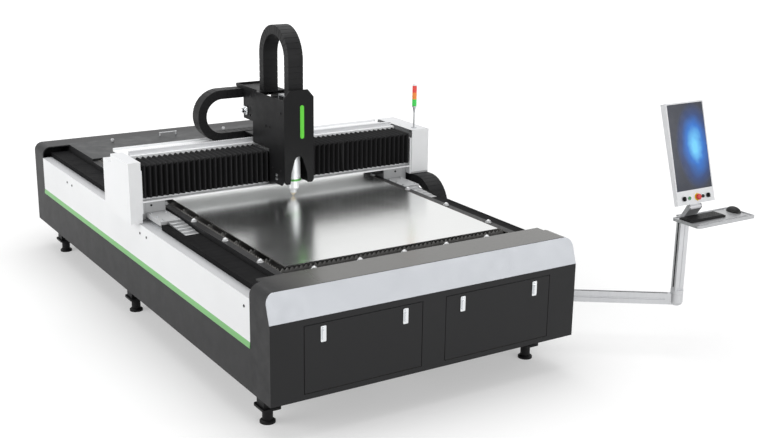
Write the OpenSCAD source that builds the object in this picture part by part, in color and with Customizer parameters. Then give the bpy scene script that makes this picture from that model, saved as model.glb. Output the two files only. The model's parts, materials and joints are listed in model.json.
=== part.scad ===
// Flatbed fiber laser cutting machine with a swing-arm operator console.
// Origin on the floor under the middle of the bed; +X to the right of the front face, +Y to the rear.

/* [Sheet and table] */
// Width of the metal sheet on the table
sheet_w = 1500; // [1300:10:1700]
// Length of the metal sheet on the table
sheet_l = 3000; // [2600:10:3400]
// Thickness of the metal sheet
sheet_t = 6; // [2:0.5:12]
// Height of the sheet's top face above the floor
sheet_top = 864; // [850:1:880]
// Gap from the sheet's edge to the bed beam
edge_gap = 80; // [70:1:110]
// Number of sawtooth slats under the sheet
slat_count = 16; // [8:1:24]
// Thickness of a slat
slat_t = 5; // [3:0.5:8]
// Spacing of the sawtooth tips
tooth_pitch = 30; // [24:1:60]
// Depth of the sawteeth
tooth_depth = 18; // [10:1:26]
// Radius of a transfer ball
ball_r = 13; // [8:0.5:15]
// Spacing of the ball units along the sides
ball_pitch_y = 472; // [380:1:520]
// Spacing of the ball units along the front
ball_pitch_x = 302; // [240:1:330]

/* [Bed] */
// Height of the body's lower edge above the floor
body_bottom = 230; // [180:1:245]
// Length of the body in front of the sheet
front_len = 405; // [390:1:480]
// Length of the body behind the sheet
rear_len = 795; // [760:1:900]
// Width of a bed beam
beam_w = 150; // [140:1:180]
// Height of the bed beams' lower face
beam_bottom = 250; // [246:1:300]
// Height of the bed beams' top face
beam_top = 740; // [736:1:745]
// Wall thickness of the bed beams
beam_wall = 12; // [6:1:20]
// Space between a bed beam and the side panel's outer face
panel_gap = 70; // [60:1:100]
// Thickness of the side panel sheet
panel_t = 4; // [2:0.5:6]
// Height of the lower edge of the green stripe
stripe_bottom = 490; // [470:1:510]
// Height of the green stripe
stripe_h = 36; // [20:1:50]
// Height of the pale ledge on top of the side panels
panel_top = 778; // [765:1:781]
// Depth of the front cheeks
front_cheek = 239; // [220:1:250]
// Depth of the rear cheeks
rear_cheek = 217; // [200:1:225]
// Height of the lower edge of the sloped fascia
band_bottom = 700; // [680:1:720]
// Height of the top of the cabinets
body_top = 862; // [856:1:868]
// Setback of the fascia's top edge
band_lean = 55; // [30:1:80]
// Rounding of the cabinets' upper side edges
body_r = 62; // [30:1:75]
// Sheet thickness of the cabinets
cab_t = 8; // [4:1:10]
// Distance of the feet from the body's side
foot_inset = 125; // [100:1:140]
// Radius of a foot's base disc
foot_r = 46; // [40:1:60]
// Radius of a foot's stem
stem_r = 31; // [20:1:36]
// Height of the feet's lug plates above the floor
lug_z = 92; // [70:1:120]
// Width of a foot's lug plate
lug_w = 116; // [100:1:130]
// Length of a foot's lug plate
lug_l = 136; // [110:1:160]

/* [Drawers] */
// Margin between a drawer front and the body's side
drawer_margin = 207; // [195:1:240]
// Half the space between the two drawer fronts
drawer_mid = 83; // [70:1:100]
// Height of a drawer front
drawer_h = 392; // [350:1:400]
// Height of a drawer front's lower edge
drawer_z = 266; // [262:1:280]
// Length of the drawer box behind its front
drawer_l = 640; // [500:1:660]
// Reveal around a drawer front
reveal = 4; // [2:0.5:8]
// Running gap of sliding and turning faces
gap = 0.3; // [0.3:0.1:1]
// Distance of a latch from the drawer front's edge
latch_inset = 115; // [80:1:160]

/* [Gantry] */
// Distance from the sheet's front edge to the gantry's front at rest
gantry_rest = 1450; // [1400:10:1700]
// Overhang of the left end cover beyond the side panel
left_over = 62; // [40:1:80]
// Width of the left end cover
left_cover_w = 82; // [60:1:100]
// Width of the right end cover
right_cover_w = 145; // [142:1:180]
// Height of the gantry's top face
gantry_top = 1188; // [1180:1:1230]
// Height of the beam's lower face
cross_bottom = 915; // [905:1:925]
// Height of the left end cover's lower edge
left_cover_z = 783; // [782:1:800]
// Depth of the end covers
cover_l = 482; // [470:1:490]
// Number of pleats of a bellows
pleat_count = 24; // [12:1:36]
// Depth of the bellows' pleats
pleat_depth = 22; // [10:1:23]
// Module of the racks and pinions
gear_module = 5; // [4:0.5:5]
// Teeth of a pinion
pinion_teeth = 17; // [17:1:18]
// Thickness of a pinion
pinion_t = 20; // [10:1:22]
// Radius of a pinion's shaft
shaft_r = 12; // [8:0.5:14]
// Radial running clearance of a shaft
run_clear = 0.05; // [0.02:0.01:0.1]
// Radius of the signal tower's lamps
lamp_r = 17; // [12:1:20]
// Height of one signal lamp
lamp_h = 50; // [40:1:60]
// Height of the signal tower's pole
pole_h = 165; // [120:1:200]

/* [Cable chains] */
// Thickness of a cable chain
chain_t = 62; // [50:1:66]
// Length of one chain link
link_l = 40; // [30:1:60]
// Width of the groove between links
groove_w = 3; // [2:0.5:5]
// Depth of the groove between links
groove_d = 2; // [1:0.5:4]
// Outer radius of the long-axis chain's loop
x_loop_r = 225; // [215:1:230]
// Width of the long-axis chain
x_chain_w = 133; // [100:1:134]
// Outer radius of the cross-axis chain's loop
y_loop_r = 182; // [170:1:190]
// Width of the cross-axis chain
y_chain_w = 100; // [80:1:106]
// Outer radius of the vertical chain's arch
z_loop_r = 215; // [205:1:216]
// Width of the vertical chain
z_chain_w = 110; // [90:1:120]
// Height of the straight legs of the vertical chain
z_leg = 255; // [200:1:300]

/* [Head] */
// Width of the head housing
head_w = 222; // [210:1:260]
// Distance of the head's front from the gantry's front
head_reach = 227; // [220:1:260]
// Height of the head housing's lower edge
head_bottom = 958; // [950:1:975]
// Height of the head housing's top
head_top = 1540; // [1535:1:1560]
// Height of the front cover's top
cover_top = 1606; // [1600:1:1630]
// Thickness of the head's plates
head_t = 8; // [5:1:9]
// Width of the light bar
bar_w = 28; // [16:1:36]
// Length of the light bar
bar_l = 226; // [150:1:260]
// Radius of the cutting head's body
torch_r = 50; // [40:1:52]
// Gap between the nozzle's tip and the sheet
standoff = 4; // [2:0.5:10]

/* [Console] */
// Length of the swing arm between its pivots
arm_l = 980; // [850:10:1100]
// Angle of the swing arm forward of sideways
arm_angle = 35.3; // [20:0.1:50]
// Height of the swing arm's lower face
arm_z = 274; // [268:1:290]
// Height of the console profile
profile_h = 76; // [70:1:90]
// Thickness of the console profile
profile_t = 38; // [30:1:44]
// Height of the keyboard tray's top face
tray_z = 890; // [870:1:905]
// Width of the panel case
case_w = 332; // [322:1:380]
// Length of the panel case
case_l = 652; // [645:1:690]
// Thickness of the panel case at its top
case_top_t = 46; // [40:1:60]
// Thickness of the panel case at its lower end
case_low_t = 28; // [27:1:34]
// Lean of the panel
panel_lean = 16; // [8:0.5:20]
// Width of the screen glass
screen_w = 312; // [290:1:316]
// Height of the control strip below the screen
control_l = 90; // [80:1:100]
// Height of the button row above the case's lower end
button_row = 40; // [34:1:46]
// Radius of a push button
button_r = 11; // [8:0.5:13]

/* [Hidden] */
$fn = 48;
// Small overlap that lets a cut pass through a face
eps = 1;

// Plan of the bed, from the sheet outward
beam_in = sheet_w / 2 + edge_gap;
beam_out = beam_in + beam_w;
body_x = beam_out + panel_gap;
body_l = sheet_l + front_len + rear_len;
front_y = -body_l / 2;
rear_y = body_l / 2;
sheet_y0 = front_y + front_len;
sheet_y1 = sheet_y0 + sheet_l;
bed_y0 = front_y + front_cheek;
bed_y1 = rear_y - rear_cheek;
sheet_z = sheet_top - sheet_t;
stripe_top = stripe_bottom + stripe_h;
cross_tube = 100;
cross_h = 200;
cross_y = bed_y0 + 0.125 * (bed_y1 - bed_y0);
drawer_w = body_x - drawer_margin - drawer_mid;
drawer_x = drawer_mid + drawer_w / 2;
latch_span = drawer_w - 2 * latch_inset;
drawer_t = 18;
lug_plate = 14;
foot_block = 90;
drawer_lift = 14;

// Front and rear cabinets
deck_y = sheet_y0 - 105;
band_top_y = front_y + band_lean;
band_angle = atan2(body_top - band_bottom, band_lean);
band_slope = sqrt(pow(body_top - band_bottom, 2) + pow(band_lean, 2));
band_t = 6;
hold_y0 = sheet_y1 + 19;
hold_y1 = rear_y - 166;
hold_floor = 450;
lid_t = 4;

// Table, between the bed beams
rail_web = 8;
rail_top = sheet_top - 18;
rail_flange = 6;
rail_in = sheet_w / 2 + 40;
ledge_top = beam_top + 30;
comb_t = 4;
comb_x = rail_in - 2;
slat_x = comb_x - comb_t - 1;
slat_over = 14;
slat_y0 = sheet_y0 - slat_over;
slat_step = (sheet_l + slat_over - 6 - slat_t) / (slat_count - 1);
front_rail_y = sheet_y0 - 100;
front_rail_w = 40;
rear_rail_w = 12;
cup_r = ball_r + 6;
cup_h = sheet_top - rail_top - 6;
ball_x = rail_in + 22;
ball_y = front_rail_y + front_rail_w / 2;
ball_y0 = sheet_y0 + 182;
ball_sink = 0.35 * ball_r;

// Long-axis guides
guide_x = beam_in + 55;
guide_w = 30;
guide_h = 28;
block_h = 54;
block_w = 90;
block_l = 120;
foot_plate_z = beam_top + 66;
foot_plate_t = 30;
pitch_r = gear_module * pinion_teeth / 2;
tooth_step = PI * gear_module;
backlash = 0.9;
x_rack_line = beam_out - 12;
x_gear_x = x_rack_line - pitch_r;
x_gear_z = beam_top + guide_h + 4;
x_rack_top = x_gear_z + pinion_t + 2;
strip_t = 3;
strip_z = beam_top + 76;
strip_in = beam_in + 11;
strip_out = beam_out + 3;
skirt_z = panel_top + 4;

// Gantry, placed from its front plane
gy = sheet_y0 + gantry_rest;
gx_left = body_x + left_over - left_cover_w;
gx_right = body_x;
right_cover_x = gx_right + 5;
right_cover_z = cross_bottom - 41;
cover_y1 = gy + cover_l;
cover_wall = 3;
saddle_y0 = gy - 205;
saddle_y1 = gy + 415;
saddle_in = beam_in + 20;
saddle_out = beam_out + 8;
step_l = 290;
step_count = 5;
step_rise = (foot_plate_z + foot_plate_t - strip_z - 1) / step_count;
block_y = [saddle_y0 + 70, saddle_y0 + 400];
x_gear_y = gy + 360;
motor_z = foot_plate_z + foot_plate_t;
motor_size = 90;
web_t = 12;
cross_y0 = gy + 55;
cross_y1 = gy + 305;
cross_top = gantry_top - 58;
cross_wall = 10;
cross_lip = 10;
ridge_y0 = gy + 237;
ridge_y1 = gy + 275;
ridge_top = gantry_top - 12;
y_guide_w = 26;
y_guide_t = 22;
y_guide_z = [cross_bottom + 57, cross_top - 45];
y_rack_line = gy + 290;
y_rack_top = ridge_top + 28;
y_gear_y = y_rack_line + pitch_r;
y_gear_z = ridge_top + 4;
tray_top = gantry_top - 22;
tray_t = 8;
tray_y0 = gy + 285;
tray_y1 = gy + 507;
end_plate = 8;
bellows_front = gy;
bellows_back = ridge_y0 - 4;
bellows_low = cross_bottom + 31;
bellows_peak = ridge_top - 7;
bellows_wall = 5;
tower_x = right_cover_x + 57;
tower_y = gy + 65;

// Cable chains
x_chain_x0 = right_cover_x + 5;
x_chain_x1 = x_chain_x0 + x_chain_w;
x_chain_top = right_cover_z - 12;
x_loop_y = gy - 61;
x_loop_z = x_chain_top - x_loop_r;
x_anchor_y = gy + 785;
x_flange_y1 = gy + 625;
trough_y0 = x_loop_y - 700;
trough_wall = 3;
trough_play = 4;
y_chain_y0 = gy + 395;
y_chain_y1 = y_chain_y0 + y_chain_w;
y_chain_low = tray_top + gap;
y_loop_x = -270;
y_loop_z = y_chain_low + y_loop_r;
y_chain_peak = y_chain_low + 2 * y_loop_r;
y_anchor_x = 125;
anchor_t = 8;
z_arch_y = gy + 30;
z_arch_z = head_top + z_leg;
z_foot = 17;

// Head and vertical slide
head_x = head_w / 2;
carriage_x = head_x - 6;
head_front = gy - head_reach;
face_t = 12;
side_front = head_front + face_t;
neck_y = gy + 245;
neck_z = gantry_top - 10;
shelf_y = gy + 390;
shelf_z = 1325;
cap_y1 = tray_y1;
roof_rim = 14;
roof_rim_t = 6;
cap_x1 = y_anchor_x + anchor_t;
back_y = gy - 5;
back_t = 12;
slide_rail_w = 16;
slide_rail_t = 18;
slide_rail_x = 35;
slide_hold = slide_rail_x + slide_rail_w / 2 + gap;
slide_y = back_y - back_t - slide_rail_t - gap;
slide_t = 10;
slide_z0 = 1010;
slide_z1 = 1500;
torch_y = gy - 136;
torch_top = 1150;
arch_half = 68;
arch_top = 1158;
bar_x = 22;
bar_z = 1278;
bar_t = 3;
mount_z = y_rack_top + 12;
mount_t = 10;

// Console
pivot = [body_x + 90, sheet_y0 + 150];
elbow = [pivot[0] + arm_l * cos(arm_angle), pivot[1] - arm_l * sin(arm_angle)];
pivot_r = 16;
lug_t = 14;
arm_top = arm_z + profile_h;
post_z = arm_top + 5;
spigot_r = 18;
spigot_h = 50;
tray_plate = 10;
tray_rim = 14;
tray_rim_t = 12;
tray_lip = 4;
elbow_r = 42;
tray_x = [elbow[0] - 128, elbow[0] + 391];
tray_y = [elbow[1] - 255, elbow[1] - 20];
tilt_y = elbow[1] - 84;
tilt_z = tray_z + 75;
tilt_pin_r = 8;
ear_r = 16;
ear_t = 12;
ear_x = 44;
// Lower front edge of the panel case
case_y = tilt_y - 17;
case_z = tilt_z + 26;
case_x = elbow[0] - case_w / 2;
button_x = [59, 107, 181, 227, 272];
button_depth = 14;
screen_edge = 10;
screen_l = case_l - control_l - screen_edge;
button_proud = 8;

// Box from its lowest to its highest corner
module box(low, high) {
    translate(low) cube(high - low);
}

// Outline in Y and Z, drawn out along X
module along_x(x0, x1) {
    translate([x0, 0, 0]) rotate([90, 0, 90]) linear_extrude(x1 - x0) children();
}

// Outline in X and Z, drawn out along Y
module along_y(y0, y1) {
    translate([0, y1, 0]) rotate([90, 0, 0]) linear_extrude(y1 - y0) children();
}

module both_sides() {
    children();
    mirror([1, 0, 0]) children();
}

// Flat outline with round corners, its lower left corner at the origin
module round_rect(w, h, r) {
    translate([r, 0]) square([w - 2 * r, h]);
    translate([0, r]) square([w, h - 2 * r]);
    for (x = [r, w - r], y = [r, h - r]) translate([x, y]) circle(r);
}

// Square tube along X
module tube_x(x0, x1, y0, y1, z0, z1, wall) {
    difference() {
        box([x0, y0, z0], [x1, y1, z1]);
        box([x0 - eps, y0 + wall, z0 + wall], [x1 + eps, y1 - wall, z1 - wall]);
    }
}

// Square tube along Y
module tube_y(x0, x1, y0, y1, z0, z1, wall) {
    difference() {
        box([x0, y0, z0], [x1, y1, z1]);
        box([x0 + wall, y0 - eps, z0 + wall], [x1 - wall, y1 + eps, z1 - wall]);
    }
}

// Points of a straight rack's teeth above its pitch line, along the first axis
function rack_points(length, back) = let (
        n = floor(length / tooth_step) - 1,
        tip = gear_module,
        root = 1.25 * gear_module,
        flank = tan(20),
        half = tooth_step / 4 - backlash / 4)
    concat([[0, -back], [0, -root]],
        [for (i = [0:n]) let (c = (i + 0.5) * tooth_step)
            for (p = [[c - half - root * flank, -root], [c - half + tip * flank, tip],
                      [c + half - tip * flank, tip], [c + half + root * flank, -root]]) p],
        [[length, -root], [length, -back]]);

function involute(angle) = tan(angle) * 180 / PI - angle;

// Half angle of a pinion tooth at a radius
function tooth_half(r, base) = 90 / pinion_teeth - backlash / 4 / pitch_r * 180 / PI
    + involute(20) - (r > base ? involute(acos(base / r)) : 0);

// Outline of a pinion with a tooth on its +X side
function pinion_points() = let (
        base = pitch_r * cos(20),
        root = pitch_r - 1.25 * gear_module,
        tip = pitch_r + gear_module,
        radii = [root, base, (base + pitch_r) / 2, pitch_r, (pitch_r + tip) / 2, tip])
    [for (i = [0:pinion_teeth - 1]) let (c = i * 360 / pinion_teeth)
        for (s = [-1, 1]) for (k = [0:5])
            let (r = radii[s < 0 ? k : 5 - k], a = c + s * tooth_half(r, base)) [r * cos(a), r * sin(a)]];

// Sawtooth edge from the origin along the first axis, standing on a strip of the given height
function saw_points(length, height, pitch, depth) = let (n = floor(length / pitch))
    concat([[0, 0], [0, height - depth]],
        [for (i = [0:n - 1])
            for (p = [[(i + 0.5) * length / n, height], [(i + 1) * length / n, height - depth]]) p],
        [[length, 0]]);

// Straight run of a cable chain along the first axis, its links parted by shallow grooves
module chain_run(length, width, thick) {
    n = max(1, round(length / link_l));
    difference() {
        cube([length, width, thick]);
        for (i = [1:n - 1]) translate([i * length / n - groove_w / 2, 0, 0]) {
            translate([0, -eps, -eps]) cube([groove_w, groove_d + eps, thick + 2 * eps]);
            translate([0, width - groove_d, -eps]) cube([groove_w, groove_d + eps, thick + 2 * eps]);
            translate([0, -eps, -eps]) cube([groove_w, width + 2 * eps, groove_d + eps]);
            translate([0, -eps, thick - groove_d]) cube([groove_w, width + 2 * eps, groove_d + eps]);
        }
    }
}

// Bent stretch of a cable chain about the Z axis, from the +X side through an angle
module chain_bend(radius, width, thick, angle) {
    n = max(2, round(angle / 90 * radius * PI / 2 / link_l));
    difference() {
        rotate_extrude(angle = angle, $fn = 96) translate([radius - thick, 0]) square([thick, width]);
        for (i = [1:n - 1]) rotate([0, 0, i * angle / n]) {
            translate([radius - groove_d, -groove_w / 2, -eps])
                cube([groove_d + eps, groove_w, width + 2 * eps]);
            translate([radius - thick - eps, -groove_w / 2, -eps])
                cube([thick + 2 * eps, groove_w, groove_d + eps]);
            translate([radius - thick - eps, -groove_w / 2, width - groove_d])
                cube([thick + 2 * eps, groove_w, groove_d + eps]);
        }
    }
}

// Bed: welded side beams and cross tubes
module bed_frame() {
    color("dimgray") {
        both_sides() tube_y(beam_in, beam_out, bed_y0, bed_y1, beam_bottom, beam_top, beam_wall);
        for (t = [0.125, 0.375, 0.625, 0.875]) {
            y = bed_y0 + t * (bed_y1 - bed_y0);
            tube_x(-beam_in, beam_in, y, y + cross_tube, beam_bottom, beam_bottom + cross_h, beam_wall);
        }
    }
}

module lower_panels() {
    color("dimgray") both_sides() along_y(bed_y0, bed_y1) union() {
        translate([body_x - panel_t, body_bottom]) square([panel_t, stripe_bottom - body_bottom]);
        translate([beam_out, stripe_bottom - panel_t]) square([panel_gap, panel_t]);
        translate([beam_out + panel_gap / 2, body_bottom]) square([panel_gap / 2, panel_t]);
    }
}

module stripes() {
    color("darkseagreen") both_sides() along_y(bed_y0, bed_y1)
        polygon([[body_x - 8, stripe_bottom], [body_x + 4, stripe_bottom], [body_x + 4, stripe_bottom + 6],
                 [body_x, stripe_top], [body_x - 8, stripe_top]]);
}

// Upper side panel: white wall folded over into the pale ledge and down beside the beam
module upper_panels() {
    color("whitesmoke") both_sides() difference() {
        along_y(bed_y0, bed_y1) union() {
            translate([body_x - panel_t, stripe_top]) square([panel_t, panel_top - stripe_top]);
            translate([beam_out, panel_top - panel_t]) square([panel_gap, panel_t]);
            translate([beam_out, panel_top - panel_gap]) square([panel_t, panel_gap]);
        }
        for (t = [0.018, 0.404, 0.434, 0.808, 0.838])
            translate([body_x + eps, bed_y0 + t * (bed_y1 - bed_y0), panel_top - 62])
                rotate([0, -90, 0]) cylinder(r = 6, h = panel_t + 2 * eps);
    }
}

// Cross-section of the cabinets, in X and Z, with round upper corners
module body_section(inset) {
    x = body_x - inset;
    r = body_r - inset;
    translate([-x, body_bottom + inset]) square([2 * x, body_top - body_r - body_bottom - inset]);
    translate([-x + r, body_top - body_r - eps]) square([2 * x - 2 * r, r + eps]);
    for (s = [-1, 1]) translate([s * (x - r), body_top - body_r]) circle(r);
}

module body_shell(y0, y1) {
    along_y(y0, y1) difference() {
        body_section(0);
        body_section(cab_t);
    }
}

// Slab on the sloped plane of the fascia, from its inner face outward
module slope_slab(out, rise) {
    translate([-body_x - eps, front_y, band_bottom]) rotate([band_angle, 0, 0])
        translate([0, 0, -band_t]) cube([2 * body_x + 2 * eps, rise, band_t + out]);
}

// Angle runner under a drawer box, standing on the cabinet's floor
module drawer_runner(x) {
    y0 = front_y + drawer_t + 2;
    top = drawer_z + drawer_lift - gap;
    box([x - 15, y0, top - 10], [x + 15, cross_y, top]);
    box([x - 3, y0, body_bottom], [x + 3, bed_y0, top]);
}

// Front cabinet: shell with round upper edges, drawer openings, rear flanges and drawer runners
module front_cabinet() {
    color("dimgray") {
        difference() {
            union() {
                body_shell(front_y, bed_y0);
                along_y(front_y, front_y + cab_t) body_section(0);
                box([-beam_out, bed_y0, body_top - cab_t], [beam_out, deck_y, body_top]);
                both_sides() box([beam_in, bed_y0 - cab_t, body_bottom], [body_x - cab_t, bed_y0, beam_top]);
                box([-body_x + body_r, band_top_y, body_top - 40],
                    [body_x - body_r, band_top_y + cab_t, body_top]);
            }
            slope_slab(200, 2 * band_slope);
            both_sides() box([drawer_x - drawer_w / 2 - reveal, front_y - eps, drawer_z - reveal],
                [drawer_x + drawer_w / 2 + reveal, front_y + cab_t + eps, drawer_z + drawer_h + reveal]);
        }
        both_sides() for (s = [-1, 1]) drawer_runner(drawer_x + s * (drawer_w / 2 - 40));
    }
}

// Sloped fascia that follows the cabinet's round upper edges
module front_band() {
    color("lightsteelblue") intersection() {
        slope_slab(0, band_slope);
        along_y(front_y - eps, bed_y0) body_section(0);
    }
}

// Rear cabinet: shell with louvres in its back wall and an open-topped compartment ahead of it
module rear_cabinet() {
    louvre_h = 12;
    color("dimgray") difference() {
        union() {
            body_shell(bed_y1, rear_y);
            along_y(rear_y - cab_t, rear_y) body_section(0);
            both_sides() box([beam_in, bed_y1, body_bottom], [body_x - cab_t, bed_y1 + cab_t, beam_top]);
            box([-beam_in, hold_y0, hold_floor], [beam_in, hold_y0 + cab_t, body_top - lid_t]);
            box([-beam_in, hold_y0, hold_floor], [beam_in, rear_y, hold_floor + cab_t]);
            both_sides() box([beam_in - cab_t, hold_y0, hold_floor], [beam_in, rear_y, body_top - lid_t]);
        }
        box([-beam_in, bed_y1 - eps, body_top - lid_t], [beam_in, hold_y1, body_top + eps]);
        box([-beam_in + cab_t, bed_y1 - eps, body_top - 2 * cab_t],
            [beam_in - cab_t, hold_y1, body_top + eps]);
        both_sides() for (i = [0:7]) translate([0, 0, hold_floor + 60 + 2 * i * louvre_h])
            box([250, rear_y - cab_t - eps, 0], [650, rear_y + eps, louvre_h]);
    }
}

// Lift-off cover plate over the rear compartment, with a bail handle and two hand knobs
module rear_cover() {
    y = hold_y1 - 85;
    color("gray") {
        box([-beam_in, hold_y0, body_top - lid_t], [beam_in, hold_y1 - gap, body_top]);
        for (x = [-1, 1]) translate([x * 70 - 5, y, body_top]) cylinder(r = 6, h = 26);
        translate([-81, y, body_top + 26]) rotate([0, 90, 0]) cylinder(r = 6, h = 152);
        for (x = [-1, 1]) translate([x * 492, y - 20, body_top]) {
            cylinder(r = 9, h = 12);
            translate([0, 0, 12]) cylinder(r1 = 14, r2 = 11, h = 12);
        }
    }
}

// Levelling foot: base disc, stem, lug plate with round corners and a block under the beam
module foot() {
    cylinder(r = foot_r, h = 12);
    translate([0, 0, 12]) cylinder(r1 = foot_r, r2 = foot_r - 9, h = 8);
    translate([0, 0, 20]) cylinder(r = stem_r, h = lug_z - 20);
    translate([-lug_w / 2, -lug_l / 2, lug_z]) linear_extrude(lug_plate) round_rect(lug_w, lug_l, 16);
    translate([-foot_block / 2, -foot_block / 2, lug_z + lug_plate])
        cube([foot_block, foot_block, beam_bottom - lug_z - lug_plate]);
}

module levelling_feet() {
    x = body_x - foot_inset;
    color("black") both_sides() for (y = [bed_y0 + 53, bed_y0 + 0.564 * (bed_y1 - bed_y0), bed_y1 - 50])
        translate([x, y, 0]) foot();
}

// Long-axis rails and toothed racks on top of the beams
module x_guides() {
    length = bed_y1 - bed_y0 - 40;
    color("silver") both_sides() {
        translate([guide_x, bed_y0 + 20, beam_top]) difference() {
            translate([-guide_w / 2, 0, 0]) cube([guide_w, length, guide_h]);
            for (s = [-1, 1]) translate([s * (guide_w / 2 + 2), -eps, guide_h * 0.55])
                rotate([-90, 0, 0]) cylinder(r = 6, h = length + 2 * eps);
        }
        translate([x_rack_line, x_gear_y, beam_top]) linear_extrude(x_rack_top - beam_top)
            rotate(90) translate([-(floor((x_gear_y - bed_y0 - 20) / tooth_step)) * tooth_step, 0])
                polygon(rack_points(floor((x_gear_y - bed_y0 - 20) / tooth_step) * tooth_step
                    + floor((bed_y1 - 20 - x_gear_y) / tooth_step) * tooth_step, beam_out - x_rack_line));
    }
}

// Way cover strip with a skirt along its outer edge
module way_strip(y0, y1) {
    box([strip_in, y0, strip_z - strip_t], [strip_out, y1, strip_z]);
    box([beam_out, y0, skirt_z], [strip_out, y1, strip_z]);
}

// Black roll-up way covers and the stack of stepped cover plates ahead of each saddle
module way_covers() {
    color("black") both_sides() {
        way_strip(deck_y + 4, saddle_y0 - step_l - gap);
        way_strip(saddle_y1 + gap, bed_y1 - 4);
        for (i = [0:step_count - 1]) {
            l = step_l / step_count;
            y = saddle_y0 - gap - i * l;
            box([strip_in + 8, y - l, strip_z - strip_t],
                [strip_out - 40, y, strip_z + step_rise * (step_count - i)]);
        }
    }
}

// Rail frame of the table with comb plates, standing on the beams
module table_frame() {
    y0 = front_rail_y;
    y1 = sheet_y1 + 10;
    color("dimgray") {
        both_sides() along_y(y0, y1) union() {
            translate([beam_in, beam_top]) square([rail_web, rail_top - beam_top]);
            translate([rail_in, rail_top - rail_flange]) square([beam_in + rail_web - rail_in, rail_flange]);
            translate([slat_x - 20, ledge_top - 6]) square([beam_in - slat_x + 20 + rail_web, 6]);
        }
        difference() {
            box([-beam_in, y0, ledge_top - 6], [beam_in, y0 + front_rail_w, rail_top]);
            box([-beam_in - eps, y0 + 6, ledge_top - 6 - eps],
                [beam_in + eps, y0 + front_rail_w - 6, rail_top - 6]);
        }
        box([-beam_in, y1 - rear_rail_w, ledge_top - 6], [beam_in, y1, rail_top]);
        both_sides() along_x(comb_x - comb_t, comb_x) translate([sheet_y0, ledge_top])
            polygon(saw_points(sheet_l, sheet_z - ledge_top - 4, tooth_pitch, tooth_depth));
        for (t = [0.25, 0.5, 0.75])
            tube_x(-beam_in, beam_in, sheet_y0 + t * sheet_l - 30, sheet_y0 + t * sheet_l + 30,
                ledge_top - 66, ledge_top - 6, 5);
    }
}

// Sawtooth slats across the table
module support_slats() {
    color("darkslategray") for (i = [0:slat_count - 1])
        along_y(slat_y0 + i * slat_step, slat_y0 + i * slat_step + slat_t) translate([-slat_x, ledge_top])
            polygon(saw_points(2 * slat_x, sheet_z - ledge_top, tooth_pitch, tooth_depth));
}

// Ball transfer unit: flanged cup with a ball that stands proud
module ball_unit() {
    difference() {
        union() {
            cylinder(r = cup_r, h = 4);
            cylinder(r = cup_r - 4, h = cup_h);
        }
        translate([0, 0, cup_h - ball_sink]) cylinder(r = ball_r, h = ball_r);
    }
    translate([0, 0, cup_h - ball_sink]) intersection() {
        sphere(ball_r);
        translate([-ball_r, -ball_r, 0]) cube(2 * ball_r);
    }
}

module ball_units() {
    color("silver") {
        both_sides() for (y = [ball_y0 : ball_pitch_y : sheet_y1 - 200])
            translate([ball_x, y, rail_top]) ball_unit();
        for (i = [-2:2]) translate([i * ball_pitch_x, ball_y, rail_top]) ball_unit();
    }
}

module sheet_blank() {
    color("lightgray") box([-sheet_w / 2, sheet_y0, sheet_z], [sheet_w / 2, sheet_y1, sheet_top]);
}

// Open channel for the long-axis chain's lower run, on the right side panel
module chain_trough() {
    low = x_loop_z - x_loop_r - gap;
    color("gray") difference() {
        box([body_x, trough_y0, low - trough_wall],
            [x_chain_x1 + trough_play + trough_wall, x_anchor_y + anchor_t, low + chain_t + 6]);
        box([body_x + trough_wall, trough_y0 - eps, low],
            [x_chain_x1 + trough_play, x_anchor_y, low + chain_t + 7]);
    }
}

module x_chain_lower() {
    color("black") translate([x_chain_x1, x_loop_y, x_loop_z - x_loop_r]) rotate([0, 0, 90])
        chain_run(x_anchor_y - x_loop_y, x_chain_w, chain_t);
}

module x_chain_upper() {
    color("black") translate([x_chain_x1, x_loop_y, x_chain_top - chain_t]) rotate([0, 0, 90])
        chain_run(x_flange_y1 - x_loop_y, x_chain_w, chain_t);
}

// Loop of the long-axis chain, turned into the YZ plane; the quarter from a start angle
module x_loop_quarter(start) {
    color("black") translate([x_chain_x0, x_loop_y, x_loop_z]) rotate([90, 0, 90]) rotate([0, 0, start])
        chain_bend(x_loop_r, x_chain_w, chain_t, 90);
}

module x_loop_upper() { x_loop_quarter(90); }

module x_loop_lower() { x_loop_quarter(180); }

// Gantry beam: box section with a lower lip, a ridge for the rack, a chain tray and end plates
module gantry_beam() {
    color("whitesmoke") {
        difference() {
            box([-gx_left, cross_y0, cross_bottom], [gx_right, cross_y1, cross_top]);
            box([-gx_left - eps, cross_y0 + cross_wall, cross_bottom + cross_wall],
                [gx_right + eps, cross_y1 - cross_wall, cross_top - cross_wall]);
        }
        box([-gx_left, gy + 5, cross_bottom], [gx_right, cross_y0, cross_bottom + cross_lip]);
        box([-gx_left, ridge_y0, cross_top], [gx_right, ridge_y1, ridge_top]);
        box([-gx_left, ridge_y1, tray_top - tray_t], [gx_right, tray_y1, tray_top]);
        box([-gx_left, tray_y1, tray_top - tray_t], [gx_right, tray_y1 + 5, tray_top + 14]);
        for (t = [0.1, 0.3, 0.5, 0.7, 0.9])
            along_x(-gx_left + t * (gx_left + gx_right), -gx_left + t * (gx_left + gx_right) + 8)
                polygon([[cross_y1, tray_top - tray_t], [tray_y1, tray_top - tray_t],
                    [cross_y1, cross_bottom + 60]]);
        box([-gx_left, gy + 5, left_cover_z + 60], [-gx_left + end_plate, cover_y1 - 5, cross_top]);
        box([gx_right - end_plate, gy + 5, right_cover_z - 12], [gx_right + 5, cover_y1 - 5, cross_top]);
        box([y_anchor_x, y_chain_y0, tray_top], [y_anchor_x + anchor_t, y_chain_y1, tray_top + chain_t]);
    }
}

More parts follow.
